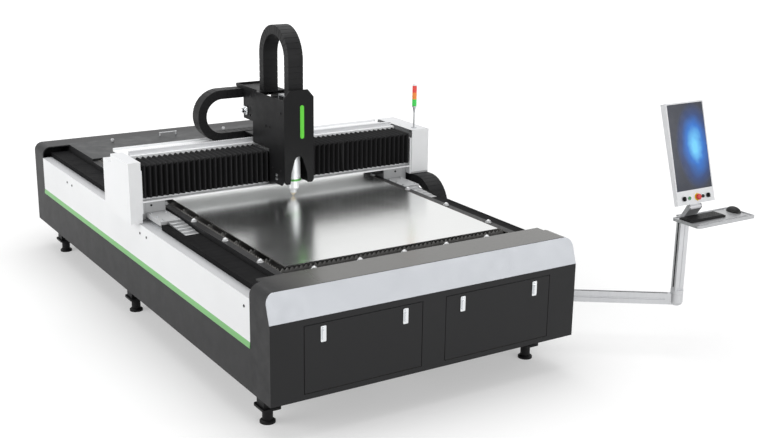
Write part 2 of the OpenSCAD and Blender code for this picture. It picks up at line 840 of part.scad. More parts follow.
// Side outline of the left end cover, lower behind the beam
module left_cover_outline(inset) {
    polygon([[gy + inset, left_cover_z - eps * sign(inset)],
        [cover_y1 - inset, left_cover_z - eps * sign(inset)],
             [cover_y1 - inset, gantry_top - 58 - inset], [gy + 330 - inset, gantry_top - 58 - inset],
             [gy + 330 - inset, gantry_top - inset], [gy + inset, gantry_top - inset]]);
}

module left_end_cover() {
    color("white") difference() {
        along_x(-gx_left - left_cover_w, -gx_left) left_cover_outline(0);
        along_x(-gx_left - left_cover_w + cover_wall, -gx_left + eps) left_cover_outline(cover_wall);
    }
}

module right_end_cover() {
    color("white") difference() {
        box([right_cover_x, gy, right_cover_z], [right_cover_x + right_cover_w, cover_y1, gantry_top]);
        box([right_cover_x - eps, gy + cover_wall, right_cover_z - eps],
            [right_cover_x + right_cover_w - cover_wall, cover_y1 - cover_wall, gantry_top - cover_wall]);
    }
}

// Saddles: foot plates with bearing blocks on the rails, upright plates under the beam, chain flange
module saddles() {
    color("lightgray") {
        both_sides() difference() {
            union() {
                box([saddle_in, saddle_y0, foot_plate_z], [saddle_out, saddle_y1, motor_z]);
                for (y = block_y) box([guide_x - block_w / 2, y - block_l / 2, foot_plate_z - block_h],
                    [guide_x + block_w / 2, y + block_l / 2, foot_plate_z]);
                box([saddle_in, cross_y0, motor_z], [saddle_out, cross_y0 + web_t, cross_bottom]);
                for (x = [saddle_in, saddle_out - web_t])
                    box([x, cross_y0, motor_z], [x + web_t, cross_y1, cross_bottom]);
            }
            box([guide_x - guide_w / 2 - gap, saddle_y0 - eps, beam_top],
                [guide_x + guide_w / 2 + gap, saddle_y1 + eps, beam_top + guide_h + gap]);
            translate([x_gear_x, x_gear_y, foot_plate_z - eps])
                cylinder(r = shaft_r + run_clear, h = foot_plate_t + 2 * eps);
        }
        box([right_cover_x, gy, x_chain_top], [x_chain_x1 + 7, x_flange_y1 + anchor_t, right_cover_z]);
        box([x_chain_x0, x_flange_y1, x_chain_top - chain_t],
            [x_chain_x1, x_flange_y1 + anchor_t, x_chain_top]);
    }
}

// Zigzag line of a bellows along the first axis between a base line and its pleats' tips
function pleat_points(length, base, valley) = let (n = pleat_count, p = length / n)
    concat([[0, base]], [[0, valley]],
        [for (i = [0:n - 1]) for (q = [[(i + 0.5) * p, valley + pleat_depth], [(i + 1) * p, valley]]) q],
        [[length, base]]);

// Pleated cover over the beam's front and top between two ends
module bellows(x0, x1) {
    depth = bellows_back - bellows_front;
    rise = bellows_peak - bellows_low;
    color("black") translate([x0, 0, 0]) difference() {
        intersection() {
            translate([0, bellows_back, bellows_low]) mirror([0, 1, 0]) linear_extrude(rise + eps)
                polygon(pleat_points(x1 - x0, 0, depth - pleat_depth));
            along_y(bellows_front - eps, bellows_back) translate([0, bellows_low])
                polygon(pleat_points(x1 - x0, 0, rise - pleat_depth));
        }
        box([-eps, bellows_front + pleat_depth + bellows_wall, bellows_low - eps],
            [x1 - x0 + eps, bellows_back + eps, bellows_peak - pleat_depth - bellows_wall]);
    }
}

module left_bellows() { bellows(-gx_left + end_plate + gap, -carriage_x - gap); }

module right_bellows() { bellows(carriage_x + gap, gx_right - end_plate - gap); }

// Cross rails on the beam's front and the rack on its ridge
module y_guides() {
    x0 = -gx_left + end_plate + 2;
    x1 = gx_right - end_plate - 2;
    teeth_left = floor(-x0 / tooth_step);
    teeth_right = floor(x1 / tooth_step);
    color("silver") {
        for (z = y_guide_z)
            box([x0, cross_y0 - y_guide_t, z - y_guide_w / 2], [x1, cross_y0, z + y_guide_w / 2]);
        translate([-teeth_left * tooth_step, y_rack_line, ridge_top]) linear_extrude(y_rack_top - ridge_top)
            polygon(rack_points((teeth_left + teeth_right) * tooth_step, 25));
    }
}

// Cross-axis chain: runs along X, loop in the XZ plane
module y_chain_lower() {
    color("black") translate([y_loop_x, y_chain_y0, y_chain_low])
        chain_run(y_anchor_x - y_loop_x, y_chain_w, chain_t);
}

module y_chain_upper() {
    color("black") translate([y_loop_x, y_chain_y0, y_chain_peak - chain_t])
        chain_run(y_anchor_x - y_loop_x, y_chain_w, chain_t);
}

module y_loop_quarter(start) {
    color("black") translate([y_loop_x, y_chain_y1, y_loop_z]) rotate([90, 0, 0]) rotate([0, 0, start])
        chain_bend(y_loop_r, y_chain_w, chain_t, 90);
}

module y_loop_upper() { y_loop_quarter(90); }

module y_loop_lower() { y_loop_quarter(180); }

// Geared motor standing on a plate, with a blind bore for the pinion's shaft
module geared_motor(size, height) {
    difference() {
        union() {
            translate([-size / 2, -size / 2, 0]) cube([size, size, height * 0.3]);
            translate([0, 0, height * 0.3]) cylinder(r = size * 0.44, h = height * 0.08);
            translate([-size * 0.44, -size * 0.44, height * 0.38])
                cube([size * 0.88, size * 0.88, height * 0.5]);
            translate([-size * 0.36, -size * 0.36, height * 0.88])
                cube([size * 0.72, size * 0.72, height * 0.12]);
        }
        translate([0, 0, -eps]) cylinder(r = shaft_r + run_clear, h = 12 + eps);
    }
}

module x_motors() {
    color("darkgray") both_sides() translate([x_gear_x, x_gear_y, motor_z])
        geared_motor(motor_size, tray_top - tray_t - motor_z - 25);
}

// Pinion with its shaft, standing at a gear's place
module pinion(shaft) {
    linear_extrude(pinion_t) polygon(pinion_points());
    cylinder(r = shaft_r, h = shaft);
}

module x_pinion_left() {
    color("slategray") translate([-x_gear_x, x_gear_y, x_gear_z]) mirror([1, 0, 0])
        pinion(motor_z - x_gear_z + 10);
}

module x_pinion_right() {
    color("slategray") translate([x_gear_x, x_gear_y, x_gear_z]) pinion(motor_z - x_gear_z + 10);
}

module y_pinion() {
    color("slategray") translate([0, y_gear_y, y_gear_z]) rotate(-90)
        pinion(mount_z + mount_t - y_gear_z + 10);
}

// Signal tower: foot, slim pole with a taper, socket
module tower_stand() {
    color("silver") translate([tower_x, tower_y, gantry_top]) {
        translate([-15, -15, 0]) cube([30, 30, 4]);
        cylinder(r = 7, h = 60);
        translate([0, 0, 60]) cylinder(r = 6, h = pole_h - 110);
        translate([0, 0, pole_h - 50]) cylinder(r1 = 6, r2 = 12, h = 40);
        translate([0, 0, pole_h - 10]) cylinder(r = lamp_r, h = 10);
    }
}

module tower_lamps() {
    color("tomato") translate([tower_x, tower_y, gantry_top + pole_h]) {
        for (i = [0:2]) translate([0, 0, i * lamp_h]) {
            cylinder(r = lamp_r, h = lamp_h - 3);
            translate([0, 0, lamp_h - 3]) cylinder(r = lamp_r - 1.5, h = 3);
        }
        translate([0, 0, 3 * lamp_h]) cylinder(r = lamp_r, h = 12);
    }
}

// Carriage plate behind the head, with bearing blocks on the cross rails
module carriage_plate() {
    plate_y = cross_y0 - y_guide_t - 7;
    color("gray") difference() {
        union() {
            box([-carriage_x, back_y, cross_bottom + 20], [carriage_x, plate_y, ridge_top - 20]);
            for (z = y_guide_z, x = [-1, 1])
                box([x * 55 - 35, plate_y - eps, z - 36], [x * 55 + 35, cross_y0 - 3, z + 36]);
        }
        for (z = y_guide_z)
            box([-head_x, cross_y0 - y_guide_t - gap, z - y_guide_w / 2 - gap],
                [head_x, cross_y0 + eps, z + y_guide_w / 2 + gap]);
    }
}

// Side outline of the head housing: tall in front, with a shelf reaching back over the beam
module head_side_outline() {
    polygon([[back_y, head_bottom - 5], [back_y, neck_z], [neck_y, neck_z],
        [neck_y, shelf_z], [shelf_y, shelf_z],
             [shelf_y, head_top], [side_front, head_top], [side_front, head_bottom + 32],
             [side_front + 34, head_bottom]]);
}

module head_housing() {
    color("black") {
        difference() {
            both_sides() along_x(head_x - head_t, head_x) head_side_outline();
            for (y = [neck_y + 35, shelf_y - 30], z = [shelf_z + 35, shelf_z + 85])
                translate([-head_x - eps, y, z]) rotate([0, 90, 0]) cylinder(r = 9, h = head_t + 2 * eps);
        }
        box([-head_x + head_t, back_y - back_t, cross_bottom + 80], [head_x - head_t, back_y, head_top - 40]);
        for (x = [-1, 1]) box([x * slide_rail_x - slide_rail_w / 2, back_y - back_t - slide_rail_t, slide_z0],
            [x * slide_rail_x + slide_rail_w / 2, back_y - back_t, slide_z1]);
        box([-head_x + head_t, back_y, head_top - 48], [head_x - head_t, z_arch_y + 140, head_top - 40]);
        box([-head_x + head_t, z_arch_y + 140, head_top - head_t], [head_x - head_t, shelf_y, head_top]);
        box([-head_x, shelf_y, head_top - head_t], [cap_x1, cap_y1, head_top]);
        box([-head_x, z_arch_y + 160, head_top - eps], [-head_x + roof_rim_t, cap_y1, head_top + roof_rim]);
        box([-head_x, cap_y1 - roof_rim_t, head_top - eps], [cap_x1, cap_y1, head_top + roof_rim]);
        box([cap_x1 - roof_rim_t, shelf_y, head_top - eps], [cap_x1, cap_y1, head_top + roof_rim]);
        box([y_anchor_x, y_chain_y0, y_chain_peak - chain_t], [cap_x1, y_chain_y1, head_top - head_t]);
        difference() {
            box([-head_x + head_t, neck_y - 60, mount_z],
                [head_x - head_t, y_gear_y + 55, mount_z + mount_t]);
            translate([0, y_gear_y, mount_z - eps]) cylinder(r = shaft_r + run_clear, h = mount_t + 2 * eps);
        }
    }
}

// Front cover with cut upper corners and an arch over the cutting head
module head_cover() {
    cut = 43;
    color("black") along_y(head_front, side_front) difference() {
        polygon([[-head_x, head_bottom + 32], [-head_x, cover_top - 50], [-head_x + cut, cover_top],
                 [head_x - cut, cover_top], [head_x, cover_top - 50], [head_x, head_bottom + 32],
                 [head_x - 14, head_bottom + 14], [-head_x + 14, head_bottom + 14]]);
        polygon([[-arch_half, head_bottom], [-arch_half + 8, head_bottom + 90],
            [-32, arch_top - 20], [32, arch_top - 20],
                 [arch_half - 8, head_bottom + 90], [arch_half, head_bottom]]);
        translate([0, arch_top - 32]) circle(32);
    }
}

module light_bar() {
    color("limegreen") along_y(head_front - bar_t, head_front) translate([bar_x - bar_w / 2, bar_z])
        round_rect(bar_w, bar_l, bar_w / 2 - 0.5);
}

module y_motor() {
    color("darkgray") translate([0, y_gear_y, mount_z + mount_t])
        geared_motor(80, head_top - head_t - mount_z - mount_t - 30);
}

// Vertical cable chain: an arch from the housing's roof to the slide
module z_chain() {
    color("black") translate([0, z_arch_y, z_arch_z]) {
        translate([-z_chain_w / 2, 0, 0]) rotate([90, 0, 90]) chain_bend(z_loop_r, z_chain_w, chain_t, 180);
        translate([-z_chain_w / 2, z_loop_r - chain_t, -z_leg])
            upright() chain_run(z_leg, z_chain_w, chain_t);
        translate([-z_chain_w / 2, -z_loop_r, -z_leg + z_foot]) upright()
            chain_run(z_leg - z_foot, z_chain_w, chain_t);
    }
}

// Turns a run along X upright, its width along X
module upright() {
    rotate([90, 0, 90]) rotate([90, 0, 90]) children();
}

// Vertical slide with the cutting head: body, collar, holder and nozzle
module cutting_head() {
    tip = sheet_top + standoff;
    color("white") {
        difference() {
            box([-60, slide_y - slide_t, slide_z0], [60, back_y - back_t - 3, slide_z1]);
            box([-slide_hold, slide_y, slide_z0 - eps], [slide_hold, back_y, slide_z1 + eps]);
        }
        translate([0, torch_y, 0]) {
            translate([0, 0, tip]) cylinder(r1 = 6, r2 = 17, h = 20);
            translate([0, 0, tip + 20]) cylinder(r = 23, h = 24);
            translate([0, 0, tip + 44]) cylinder(r1 = 30, r2 = torch_r - 8, h = 16);
            translate([0, 0, tip + 60]) cylinder(r = torch_r - 8, h = 48);
            translate([0, 0, tip + 108]) cylinder(r = torch_r + 4, h = 14);
            translate([0, 0, tip + 122]) cylinder(r = torch_r, h = torch_top - tip - 122);
        }
        box([-34, torch_y, slide_z0 + 40], [34, slide_y - slide_t, torch_top - 12]);
        box([-z_chain_w / 2, z_arch_y - z_loop_r, head_top + z_foot - 10],
            [z_chain_w / 2, slide_y, head_top + z_foot]);
        box([-z_chain_w / 2, slide_y - slide_t, slide_z1], [z_chain_w / 2, slide_y, head_top + z_foot]);
    }
}

// Scrap drawer at a middle, its front flush in the cabinet
module drawer(x) {
    wall = 4;
    side = drawer_w / 2 - 20;
    low = drawer_z + drawer_lift;
    back = front_y + drawer_t + drawer_l;
    color("dimgray") translate([x, 0, 0]) {
        box([-drawer_w / 2, front_y, drawer_z], [drawer_w / 2, front_y + drawer_t, drawer_z + drawer_h]);
        difference() {
            box([-side, front_y + drawer_t - eps, low], [side, back, drawer_z + drawer_h - 60]);
            box([-side + wall, front_y + drawer_t, low + wall],
                [side - wall, back - wall, drawer_z + drawer_h]);
        }
    }
}

module left_drawer() { drawer(-drawer_x); }

module right_drawer() { drawer(drawer_x); }

// Pair of lever latches near a drawer's upper corners
module latches(x) {
    color("silver") for (s = [-1, 1])
        translate([x + s * latch_span / 2, front_y, drawer_z + drawer_h - 62]) {
            along_y(-4, 0) translate([-17, -46]) round_rect(34, 92, 6);
            along_y(-14, -4) translate([-9, -36]) round_rect(18, 60, 8);
            translate([0, -4, 33]) rotate([90, 0, 0]) cylinder(r = 7, h = 6);
        }
}

module left_latches() { latches(-drawer_x); }

module right_latches() { latches(drawer_x); }

// Bracket on the right side with the arm's pivot pin
module arm_bracket() {
    color("darkgray") {
        box([body_x, pivot[1] - 80, arm_z - 24], [body_x + 12, pivot[1] + 80, arm_top + 34]);
        for (z = [arm_z - gap - lug_t, arm_top + gap]) {
            translate([pivot[0], pivot[1], z]) cylinder(r = 38, h = lug_t);
            box([body_x + 12, pivot[1] - 38, z], [pivot[0], pivot[1] + 38, z + lug_t]);
        }
        translate([pivot[0], pivot[1], arm_z - gap]) cylinder(r = pivot_r, h = profile_h + 2 * gap);
    }
}

// Swing arm: knuckle, flat aluminium profile and rounded elbow casting
module console_arm() {
    color("lightgray") difference() {
        union() {
            translate([pivot[0], pivot[1], arm_z]) cylinder(r = 34, h = profile_h);
            translate([pivot[0], pivot[1], arm_z]) rotate([0, 0, -arm_angle]) difference() {
                translate([24, -profile_t / 2, 1]) cube([arm_l - 24, profile_t, profile_h - 2]);
                for (s = [-1, 1]) translate([60, s * profile_t / 2, profile_h / 2]) rotate([0, 90, 0])
                    cylinder(r = 5, h = arm_l - 140);
            }
            translate([elbow[0], elbow[1], arm_z - 4]) {
                cylinder(r1 = elbow_r - 20, r2 = elbow_r - 6, h = 9);
                translate([0, 0, 9]) cylinder(r1 = elbow_r - 6, r2 = elbow_r, h = 14);
                translate([0, 0, 23]) cylinder(r = elbow_r, h = profile_h - 14);
            }
        }
        translate([pivot[0], pivot[1], arm_z - eps])
            cylinder(r = pivot_r + run_clear, h = profile_h + 2 * eps);
        translate([elbow[0], elbow[1], post_z - spigot_h])
            cylinder(r = spigot_r + run_clear, h = spigot_h + eps);
    }
}

// Side outline of the neck between the tray's rear edge and the tilt axis
module neck_outline() {
    polygon([[tray_y[1] - 30, tray_z - 2], [tray_y[1], tray_z - 2],
        [tilt_y + ear_r * 0.7, tilt_z + ear_r * 0.7],
             [tilt_y - ear_r * 0.7, tilt_z - ear_r * 0.7]]);
}

// Post with the keyboard tray, hand-hold slots and the tilting neck
module console_post() {
    low = post_z + gap;
    color("lightgray") {
        translate([elbow[0], elbow[1], post_z - spigot_h + gap]) cylinder(r = spigot_r, h = spigot_h + 10);
        translate([elbow[0], elbow[1], low]) cylinder(r = elbow_r, h = 22);
        difference() {
            translate([elbow[0] - profile_h / 2, elbow[1] - profile_t / 2, low])
                cube([profile_h, profile_t, tray_z - 2 - low]);
            for (s = [-1, 1]) translate([elbow[0], elbow[1] + s * profile_t / 2, low + 40])
                cylinder(r = 5, h = tray_z - low - 80);
        }
        box([elbow[0] - profile_h / 2 - 4, tray_y[1] - 30, tray_z - tray_plate],
            [elbow[0] + profile_h / 2 + 4, elbow[1] + profile_t / 2 + 4, tray_z]);
        difference() {
            translate([tray_x[0], tray_y[0], tray_z - tray_plate]) linear_extrude(tray_plate)
                round_rect(tray_x[1] - tray_x[0], tray_y[1] - tray_y[0], 22);
            for (s = [0, 1]) translate([tray_x[0] + 40 + s * 235, tray_y[0] + 16, tray_z - tray_plate - eps])
                linear_extrude(tray_plate + 2 * eps) round_rect(200, 26, 12);
        }
        difference() {
            translate([tray_x[0], tray_y[0], tray_z - tray_rim]) linear_extrude(tray_rim + tray_lip)
                round_rect(tray_x[1] - tray_x[0], tray_y[1] - tray_y[0], 22);
            translate([tray_x[0] + tray_rim_t, tray_y[0] + tray_rim_t, tray_z - tray_rim - eps])
                linear_extrude(tray_rim + tray_lip + 2 * eps)
                    round_rect(tray_x[1] - tray_x[0] - 2 * tray_rim_t,
                        tray_y[1] - tray_y[0] - 2 * tray_rim_t, 12);
        }
        for (s = [-1, 1])
            translate([elbow[0] + s * (ear_x + ear_t / 2 + gap), 0, 0]) along_x(-ear_t / 2, ear_t / 2) {
                neck_outline();
                translate([tilt_y, tilt_z]) circle(ear_r);
            }
        along_x(elbow[0] - ear_x - gap - eps, elbow[0] + ear_x + gap + eps) difference() {
            neck_outline();
            translate([tilt_y, tilt_z]) circle(ear_r + 1);
        }
        translate([elbow[0] - ear_x - gap, tilt_y, tilt_z]) rotate([0, 90, 0])
            cylinder(r = tilt_pin_r, h = 2 * (ear_x + gap));
    }
}

// Frame of the leaning panel: first axis across, second up the face, third out of the face
module on_panel() {
    translate([case_x, case_y, case_z]) rotate([90 - panel_lean, 0, 0]) children();
}

// Wedge-shaped panel case with a recess for the glass and sockets for the controls
module panel_case() {
    color("gainsboro") {
        on_panel() difference() {
            rotate([90, 0, 90]) linear_extrude(case_w)
                polygon([[0, 0], [0, -case_low_t], [case_l, -case_top_t], [case_l, 0]]);
            translate([(case_w - screen_w) / 2, control_l, -6]) cube([screen_w, screen_l, 6 + eps]);
            for (x = button_x) translate([x, button_row, -button_depth])
                cylinder(r = button_r + gap, h = button_depth + eps);
        }
        difference() {
            union() {
                translate([elbow[0] - ear_x, tilt_y, tilt_z]) rotate([0, 90, 0])
                    cylinder(r = ear_r, h = 2 * ear_x);
                translate([elbow[0] - ear_x + 2, tilt_y, tilt_z]) rotate([-panel_lean, 0, 0])
                    translate([0, -6, 10]) cube([2 * ear_x - 4, 12, 11]);
            }
            translate([elbow[0] - ear_x - eps, tilt_y, tilt_z]) rotate([0, 90, 0])
                cylinder(r = tilt_pin_r + run_clear, h = 2 * ear_x + 2 * eps);
        }
    }
}

module screen() {
    color("midnightblue") on_panel() translate([(case_w - screen_w) / 2, control_l, -6])
        cube([screen_w, screen_l, 5]);
}

// Control in one of the panel's sockets
module control(i) {
    on_panel() translate([button_x[i], button_row, 0]) children();
}

module start_button() {
    color("green") control(1) translate([0, 0, -button_depth + 6])
        cylinder(r = button_r, h = button_depth - 6 + button_proud);
}

module reset_button() {
    color("darkslategray") control(3) translate([0, 0, -button_depth + 6])
        cylinder(r = button_r, h = button_depth - 6 + button_proud);
}

module e_stop() {
    color("red") control(2) {
        translate([0, 0, -button_depth + 6]) cylinder(r = button_r, h = button_depth - 6 + 8);
        translate([0, 0, 8]) cylinder(r = 19, h = 10);
        translate([0, 0, 18]) cylinder(r1 = 19, r2 = 14, h = 4);
    }
}

// Rotary selector with a raised grip
module selector() {
    translate([0, 0, -button_depth + gap]) cylinder(r = button_r, h = button_depth - gap + 5);
    translate([0, 0, 5]) cylinder(r = button_r + 4, h = 6);
    translate([-4, -button_r - 2, 11]) cube([8, 2 * button_r + 4, 9]);
}

module knob_left() { color("black") control(0) selector(); }

module knob_right() { color("black") control(4) selector(); }

// Keyboard resting on the tray, with rows of keys
module keyboard() {
    key = 17;
    color("black") translate([tray_x[0] + 18, tray_y[0] + 82, tray_z]) {
        cube([310, 104, 12]);
        for (r = [0:4], c = [0:14]) translate([9 + c * 19.6, 8 + r * 18.6, 12]) cube([key, key - 2, 4]);
    }
}

module mouse() {
    color("black") translate([tray_x[1] - 48, tray_y[1] - 90, tray_z]) intersection() {
        scale([0.62, 1, 0.62]) sphere(56);
        translate([-60, -60, 0]) cube([120, 120, 60]);
    }
}

bed_frame();
lower_panels();
stripes();
upper_panels();
front_cabinet();
front_band();
rear_cabinet();
rear_cover();
levelling_feet();
x_guides();
way_covers();
table_frame();
support_slats();
ball_units();
sheet_blank();
chain_trough();
x_chain_lower();
arm_bracket();
gantry_beam();
left_end_cover();
right_end_cover();
saddles();
left_bellows();
right_bellows();
y_guides();
y_chain_lower();
x_motors();
tower_stand();
tower_lamps();
x_chain_upper();
carriage_plate();
head_housing();
head_cover();
light_bar();
y_motor();
y_chain_upper();
z_chain();
cutting_head();
x_loop_lower();
x_loop_upper();
y_loop_lower();
y_loop_upper();
x_pinion_left();
x_pinion_right();
y_pinion();
left_drawer();
right_drawer();
left_latches();
right_latches();
console_arm();
console_post();
panel_case();
screen();
e_stop();
start_button();
reset_button();
knob_left();
knob_right();
keyboard();
mouse();
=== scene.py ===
import json
import math

import bmesh
import bpy
import numpy as np
from mathutils import Matrix, Vector


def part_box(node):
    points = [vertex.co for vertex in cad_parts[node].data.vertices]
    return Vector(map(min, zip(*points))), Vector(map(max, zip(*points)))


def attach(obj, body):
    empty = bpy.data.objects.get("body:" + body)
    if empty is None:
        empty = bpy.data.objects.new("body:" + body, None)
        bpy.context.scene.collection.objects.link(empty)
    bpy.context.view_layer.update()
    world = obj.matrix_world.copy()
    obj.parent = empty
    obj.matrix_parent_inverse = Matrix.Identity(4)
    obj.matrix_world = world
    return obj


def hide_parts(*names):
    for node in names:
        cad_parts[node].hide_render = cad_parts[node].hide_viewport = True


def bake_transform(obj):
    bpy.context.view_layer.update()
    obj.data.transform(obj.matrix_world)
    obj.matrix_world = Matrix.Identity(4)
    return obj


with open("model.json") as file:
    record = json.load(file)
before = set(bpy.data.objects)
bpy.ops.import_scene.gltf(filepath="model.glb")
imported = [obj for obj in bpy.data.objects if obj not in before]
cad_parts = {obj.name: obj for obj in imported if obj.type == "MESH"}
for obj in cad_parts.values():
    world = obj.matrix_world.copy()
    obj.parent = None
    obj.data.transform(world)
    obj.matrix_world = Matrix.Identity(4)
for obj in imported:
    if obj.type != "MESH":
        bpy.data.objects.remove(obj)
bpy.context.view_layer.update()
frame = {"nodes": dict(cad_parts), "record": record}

nodes = frame["nodes"]
scene = bpy.context.scene
scene.view_settings.view_transform = "Standard"

# The two sides of the part, as signs of X
SIDES = (-1, 1)


# Colours and shader nodes

BLACK, WHITE = (0, 0, 0, 1), (1, 1, 1, 1)


def lin(r, g, b):
    """A screen colour, 0 to 255, as the linear value that a shader takes."""
    def one(c):
        c = c / 255.0
        return c / 12.92 if c <= 0.04045 else ((c + 0.055) / 1.055) ** 2.4
    return (one(r), one(g), one(b), 1.0)


def tint(colour, f):
    """The colour made lighter or darker by a factor."""
    return (min(1, colour[0] * f), min(1, colour[1] * f), min(1, colour[2] * f), 1.0)


def grey(f):
    return (f, f, f, 1)


class Maker:
    """A material's node tree with short calls for the nodes used here."""

    def __init__(self, name):
        self.mat = bpy.data.materials.new(name)
        self.mat.use_nodes = True
        self.tree = self.mat.node_tree
        self.nodes = self.tree.nodes
        self.shader = self.nodes["Principled BSDF"]
        self.coord = self.nodes.new("ShaderNodeTexCoord")

    def link(self, a, b):
        self.tree.links.new(a, b)

    def feed(self, name, value):
        """Drives one input of the shader by a node's output."""
        self.link(value, self.shader.inputs[name])

    def plain(self, **values):
        """Sets inputs of the shader to constants."""
        for k, v in values.items():
            self.shader.inputs[k.replace("_", " ")].default_value = v

    def mapped(self, scale):
        m = self.nodes.new("ShaderNodeMapping")
        m.inputs["Scale"].default_value = scale
        self.link(self.coord.outputs["Object"], m.inputs["Vector"])
        return m.outputs["Vector"]

    def noise(self, scale, stretch=(1, 1, 1), detail=4.0, rough=0.55):
        n = self.nodes.new("ShaderNodeTexNoise")
        n.inputs["Scale"].default_value = scale
        n.inputs["Detail"].default_value = detail
        n.inputs["Roughness"].default_value = rough
        self.link(self.mapped(stretch), n.inputs["Vector"])
        return n.outputs["Fac"]

    def ramp(self, fac, stops, constant=False):
        r = self.nodes.new("ShaderNodeValToRGB")
        r.color_ramp.interpolation = "CONSTANT" if constant else "LINEAR"
        els = r.color_ramp.elements
        while len(els) < len(stops):
            els.new(0.5)
        for e, (p, c) in zip(els, stops):
            e.position = p
            e.color = c
        self.link(fac, r.inputs["Fac"])
        return r.outputs["Color"]

    def spread(self, fac, low, high, lo=0.3, hi=0.7):
        """Maps the span from lo to hi onto the one from low to high."""
        n = self.nodes.new("ShaderNodeMapRange")
        n.inputs["From Min"].default_value = lo
        n.inputs["From Max"].default_value = hi
        n.inputs["To Min"].default_value = low
        n.inputs["To Max"].default_value = high
        self.link(fac, n.inputs["Value"])
        return n.outputs["Result"]

    def mix(self, fac, a, b, kind="MIX"):
        n = self.nodes.new("ShaderNodeMix")
        n.data_type = "RGBA"
        n.blend_type = kind
        for sock, v in ((n.inputs[0], fac), (n.inputs[6], a), (n.inputs[7], b)):
            if hasattr(v, "is_output"):
                self.link(v, sock)
            else:
                sock.default_value = v
        return n.outputs[2]

    def blend(self, fac, a, b):
        """From the value a to the number b."""
        n = self.nodes.new("ShaderNodeMix")
        self.link(fac, n.inputs[0])
        self.link(a, n.inputs[2])
        n.inputs[3].default_value = b
        return n.outputs[0]

    def times(self, a, b):
        n = self.nodes.new("ShaderNodeMath")
        n.operation = "MULTIPLY"
        self.link(a, n.inputs[0])
        self.link(b, n.inputs[1])
        return n.outputs[0]

    def looks_up(self):
        """1 on faces that look up, 0 on upright ones."""
        g = self.nodes.new("ShaderNodeNewGeometry")
        s = self.nodes.new("ShaderNodeSeparateXYZ")
        self.link(g.outputs["Normal"], s.inputs["Vector"])
        return self.spread(s.outputs["Z"], 0.0, 1.0, 0.75, 0.95)

    def axis(self, name):
        s = self.nodes.new("ShaderNodeSeparateXYZ")
        self.link(self.coord.outputs["Object"], s.inputs["Vector"])
        return s.outputs[name]

    def bump(self, height, strength, distance):
        b = self.nodes.new("ShaderNodeBump")
        b.inputs["Strength"].default_value = strength
        b.inputs["Distance"].default_value = distance
        self.link(height, b.inputs["Height"])
        self.feed("Normal", b.outputs["Normal"])


# Kinds of finish

def coat(name, colour, rough, metal=0.0, vary=0.06, blotch=3.0, grain=700.0, grain_depth=0.00012,
         rough_vary=0.06, spec=0.5, clear=0.0, top=None, painted_top_from_x=None, above=None):
    """Painted, moulded or ground surface: slow tone drift, fine grain and uneven gloss.

    Top is the (colour, roughness, specular) of the faces that look up; its colour is painted light where it
    is lighter than the sides and painted shade where it is darker.
    Along X, this painted top sets in between the two places given.
    Above is the (height, colour) of fittings that stand on the surface."""
    m = Maker(name)
    slow = m.noise(blotch, detail=5.0)
    fine = m.noise(grain, detail=2.0)
    tone = m.ramp(slow, [(0.28, tint(colour, 1 - vary)), (0.72, tint(colour, 1 + vary))])
    gloss = m.spread(m.noise(blotch * 4), rough - rough_vary, rough + rough_vary)
    m.plain(Metallic=metal, Specular_IOR_Level=spec)
    if top:
        painted_top_colour, top_rough, top_spec = top
        up = m.looks_up()
        if painted_top_from_x:
            up = m.times(up, m.spread(m.axis("X"), 0.0, 1.0, *painted_top_from_x))
        # Painted light and shade: faces that look up take the top colour in place of how the light falls on
        # them
        tone = m.mix(up, tone, painted_top_colour)
        gloss = m.blend(up, gloss, top_rough)
        if top_spec != spec:
            m.feed("Specular IOR Level", m.spread(up, spec, top_spec, 0.0, 1.0))
    if above:
        height, fitting_colour = above
        edge = 0.001
        higher = m.spread(m.axis("Z"), 0.0, 1.0, height, height + edge)
        tone = m.mix(higher, tone, fitting_colour)
    m.feed("Base Color", tone)
    m.feed("Roughness", gloss)
    m.bump(fine, 0.35, grain_depth)
    if clear:
        m.plain(Coat_Weight=clear, Coat_Roughness=0.12)
    return m.mat


def brushed(name, colour, rough, stretch, vary=0.10):
    """Rolled or ground metal with lines along one direction."""
    m = Maker(name)
    lines = m.noise(90.0, stretch, detail=6.0, rough=0.7)
    cloud = m.noise(2.2, detail=4.0)
    tone = m.ramp(lines, [(0.3, tint(colour, 1 - vary)), (0.7, tint(colour, 1 + vary))])
    m.feed("Base Color", m.mix(m.spread(cloud, 0.0, 0.35), tone, tint(colour, 0.86)))
    m.feed("Roughness", m.spread(lines, rough - 0.05, rough + 0.07))
    m.bump(lines, 0.25, 0.00006)
    m.plain(Metallic=1.0)
    return m.mat


def banded(name, stops, rough, span, metal=0.0, glow=0.0):
    """Colour in bands by height, with a little drift of tone over them."""
    m = Maker(name)
    low, high = span
    bands = m.ramp(m.spread(m.axis("Z"), 0.0, 1.0, low, high),
                   [((z - low) / (high - low), colour) for z, colour in stops], constant=True)
    drift = m.ramp(m.noise(14.0), [(0.3, grey(0.95)), (0.7, WHITE)])
    colour = m.mix(1.0, bands, drift, "MULTIPLY")
    m.feed("Base Color", colour)
    m.feed("Roughness", m.spread(m.noise(40.0), rough - 0.04, rough + 0.05))
    m.bump(m.noise(500.0), 0.2, 0.0001)
    m.plain(Metallic=metal)
    if glow:
        m.feed("Emission Color", colour)
        m.plain(Emission_Strength=glow)
    return m.mat


BAND_MARGIN = 0.01


def lit_diffuser():
    """Light bar on the head's front cover."""
    low, high = 1.27, 1.52
    stops = [(low, lin(84, 190, 44)), (low + BAND_MARGIN, lin(88, 196, 46))]
    return banded("lit_diffuser", stops, 0.3, (low, high), glow=0.2)


def tower_bands():
    """Green, amber and red lamps under a pale cap."""
    lamp, height = 0.05, 0.17
    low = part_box("tower_lamps")[0][2]
    stops = [(low - BAND_MARGIN, lin(66, 210, 88)), (low + lamp, lin(238, 140, 60)),
             (low + 2 * lamp, lin(226, 74, 66)), (low + 3 * lamp, lin(232, 234, 236))]
    return banded("tower_lamps", stops, 0.25, (low - BAND_MARGIN, low + height), glow=0.18)


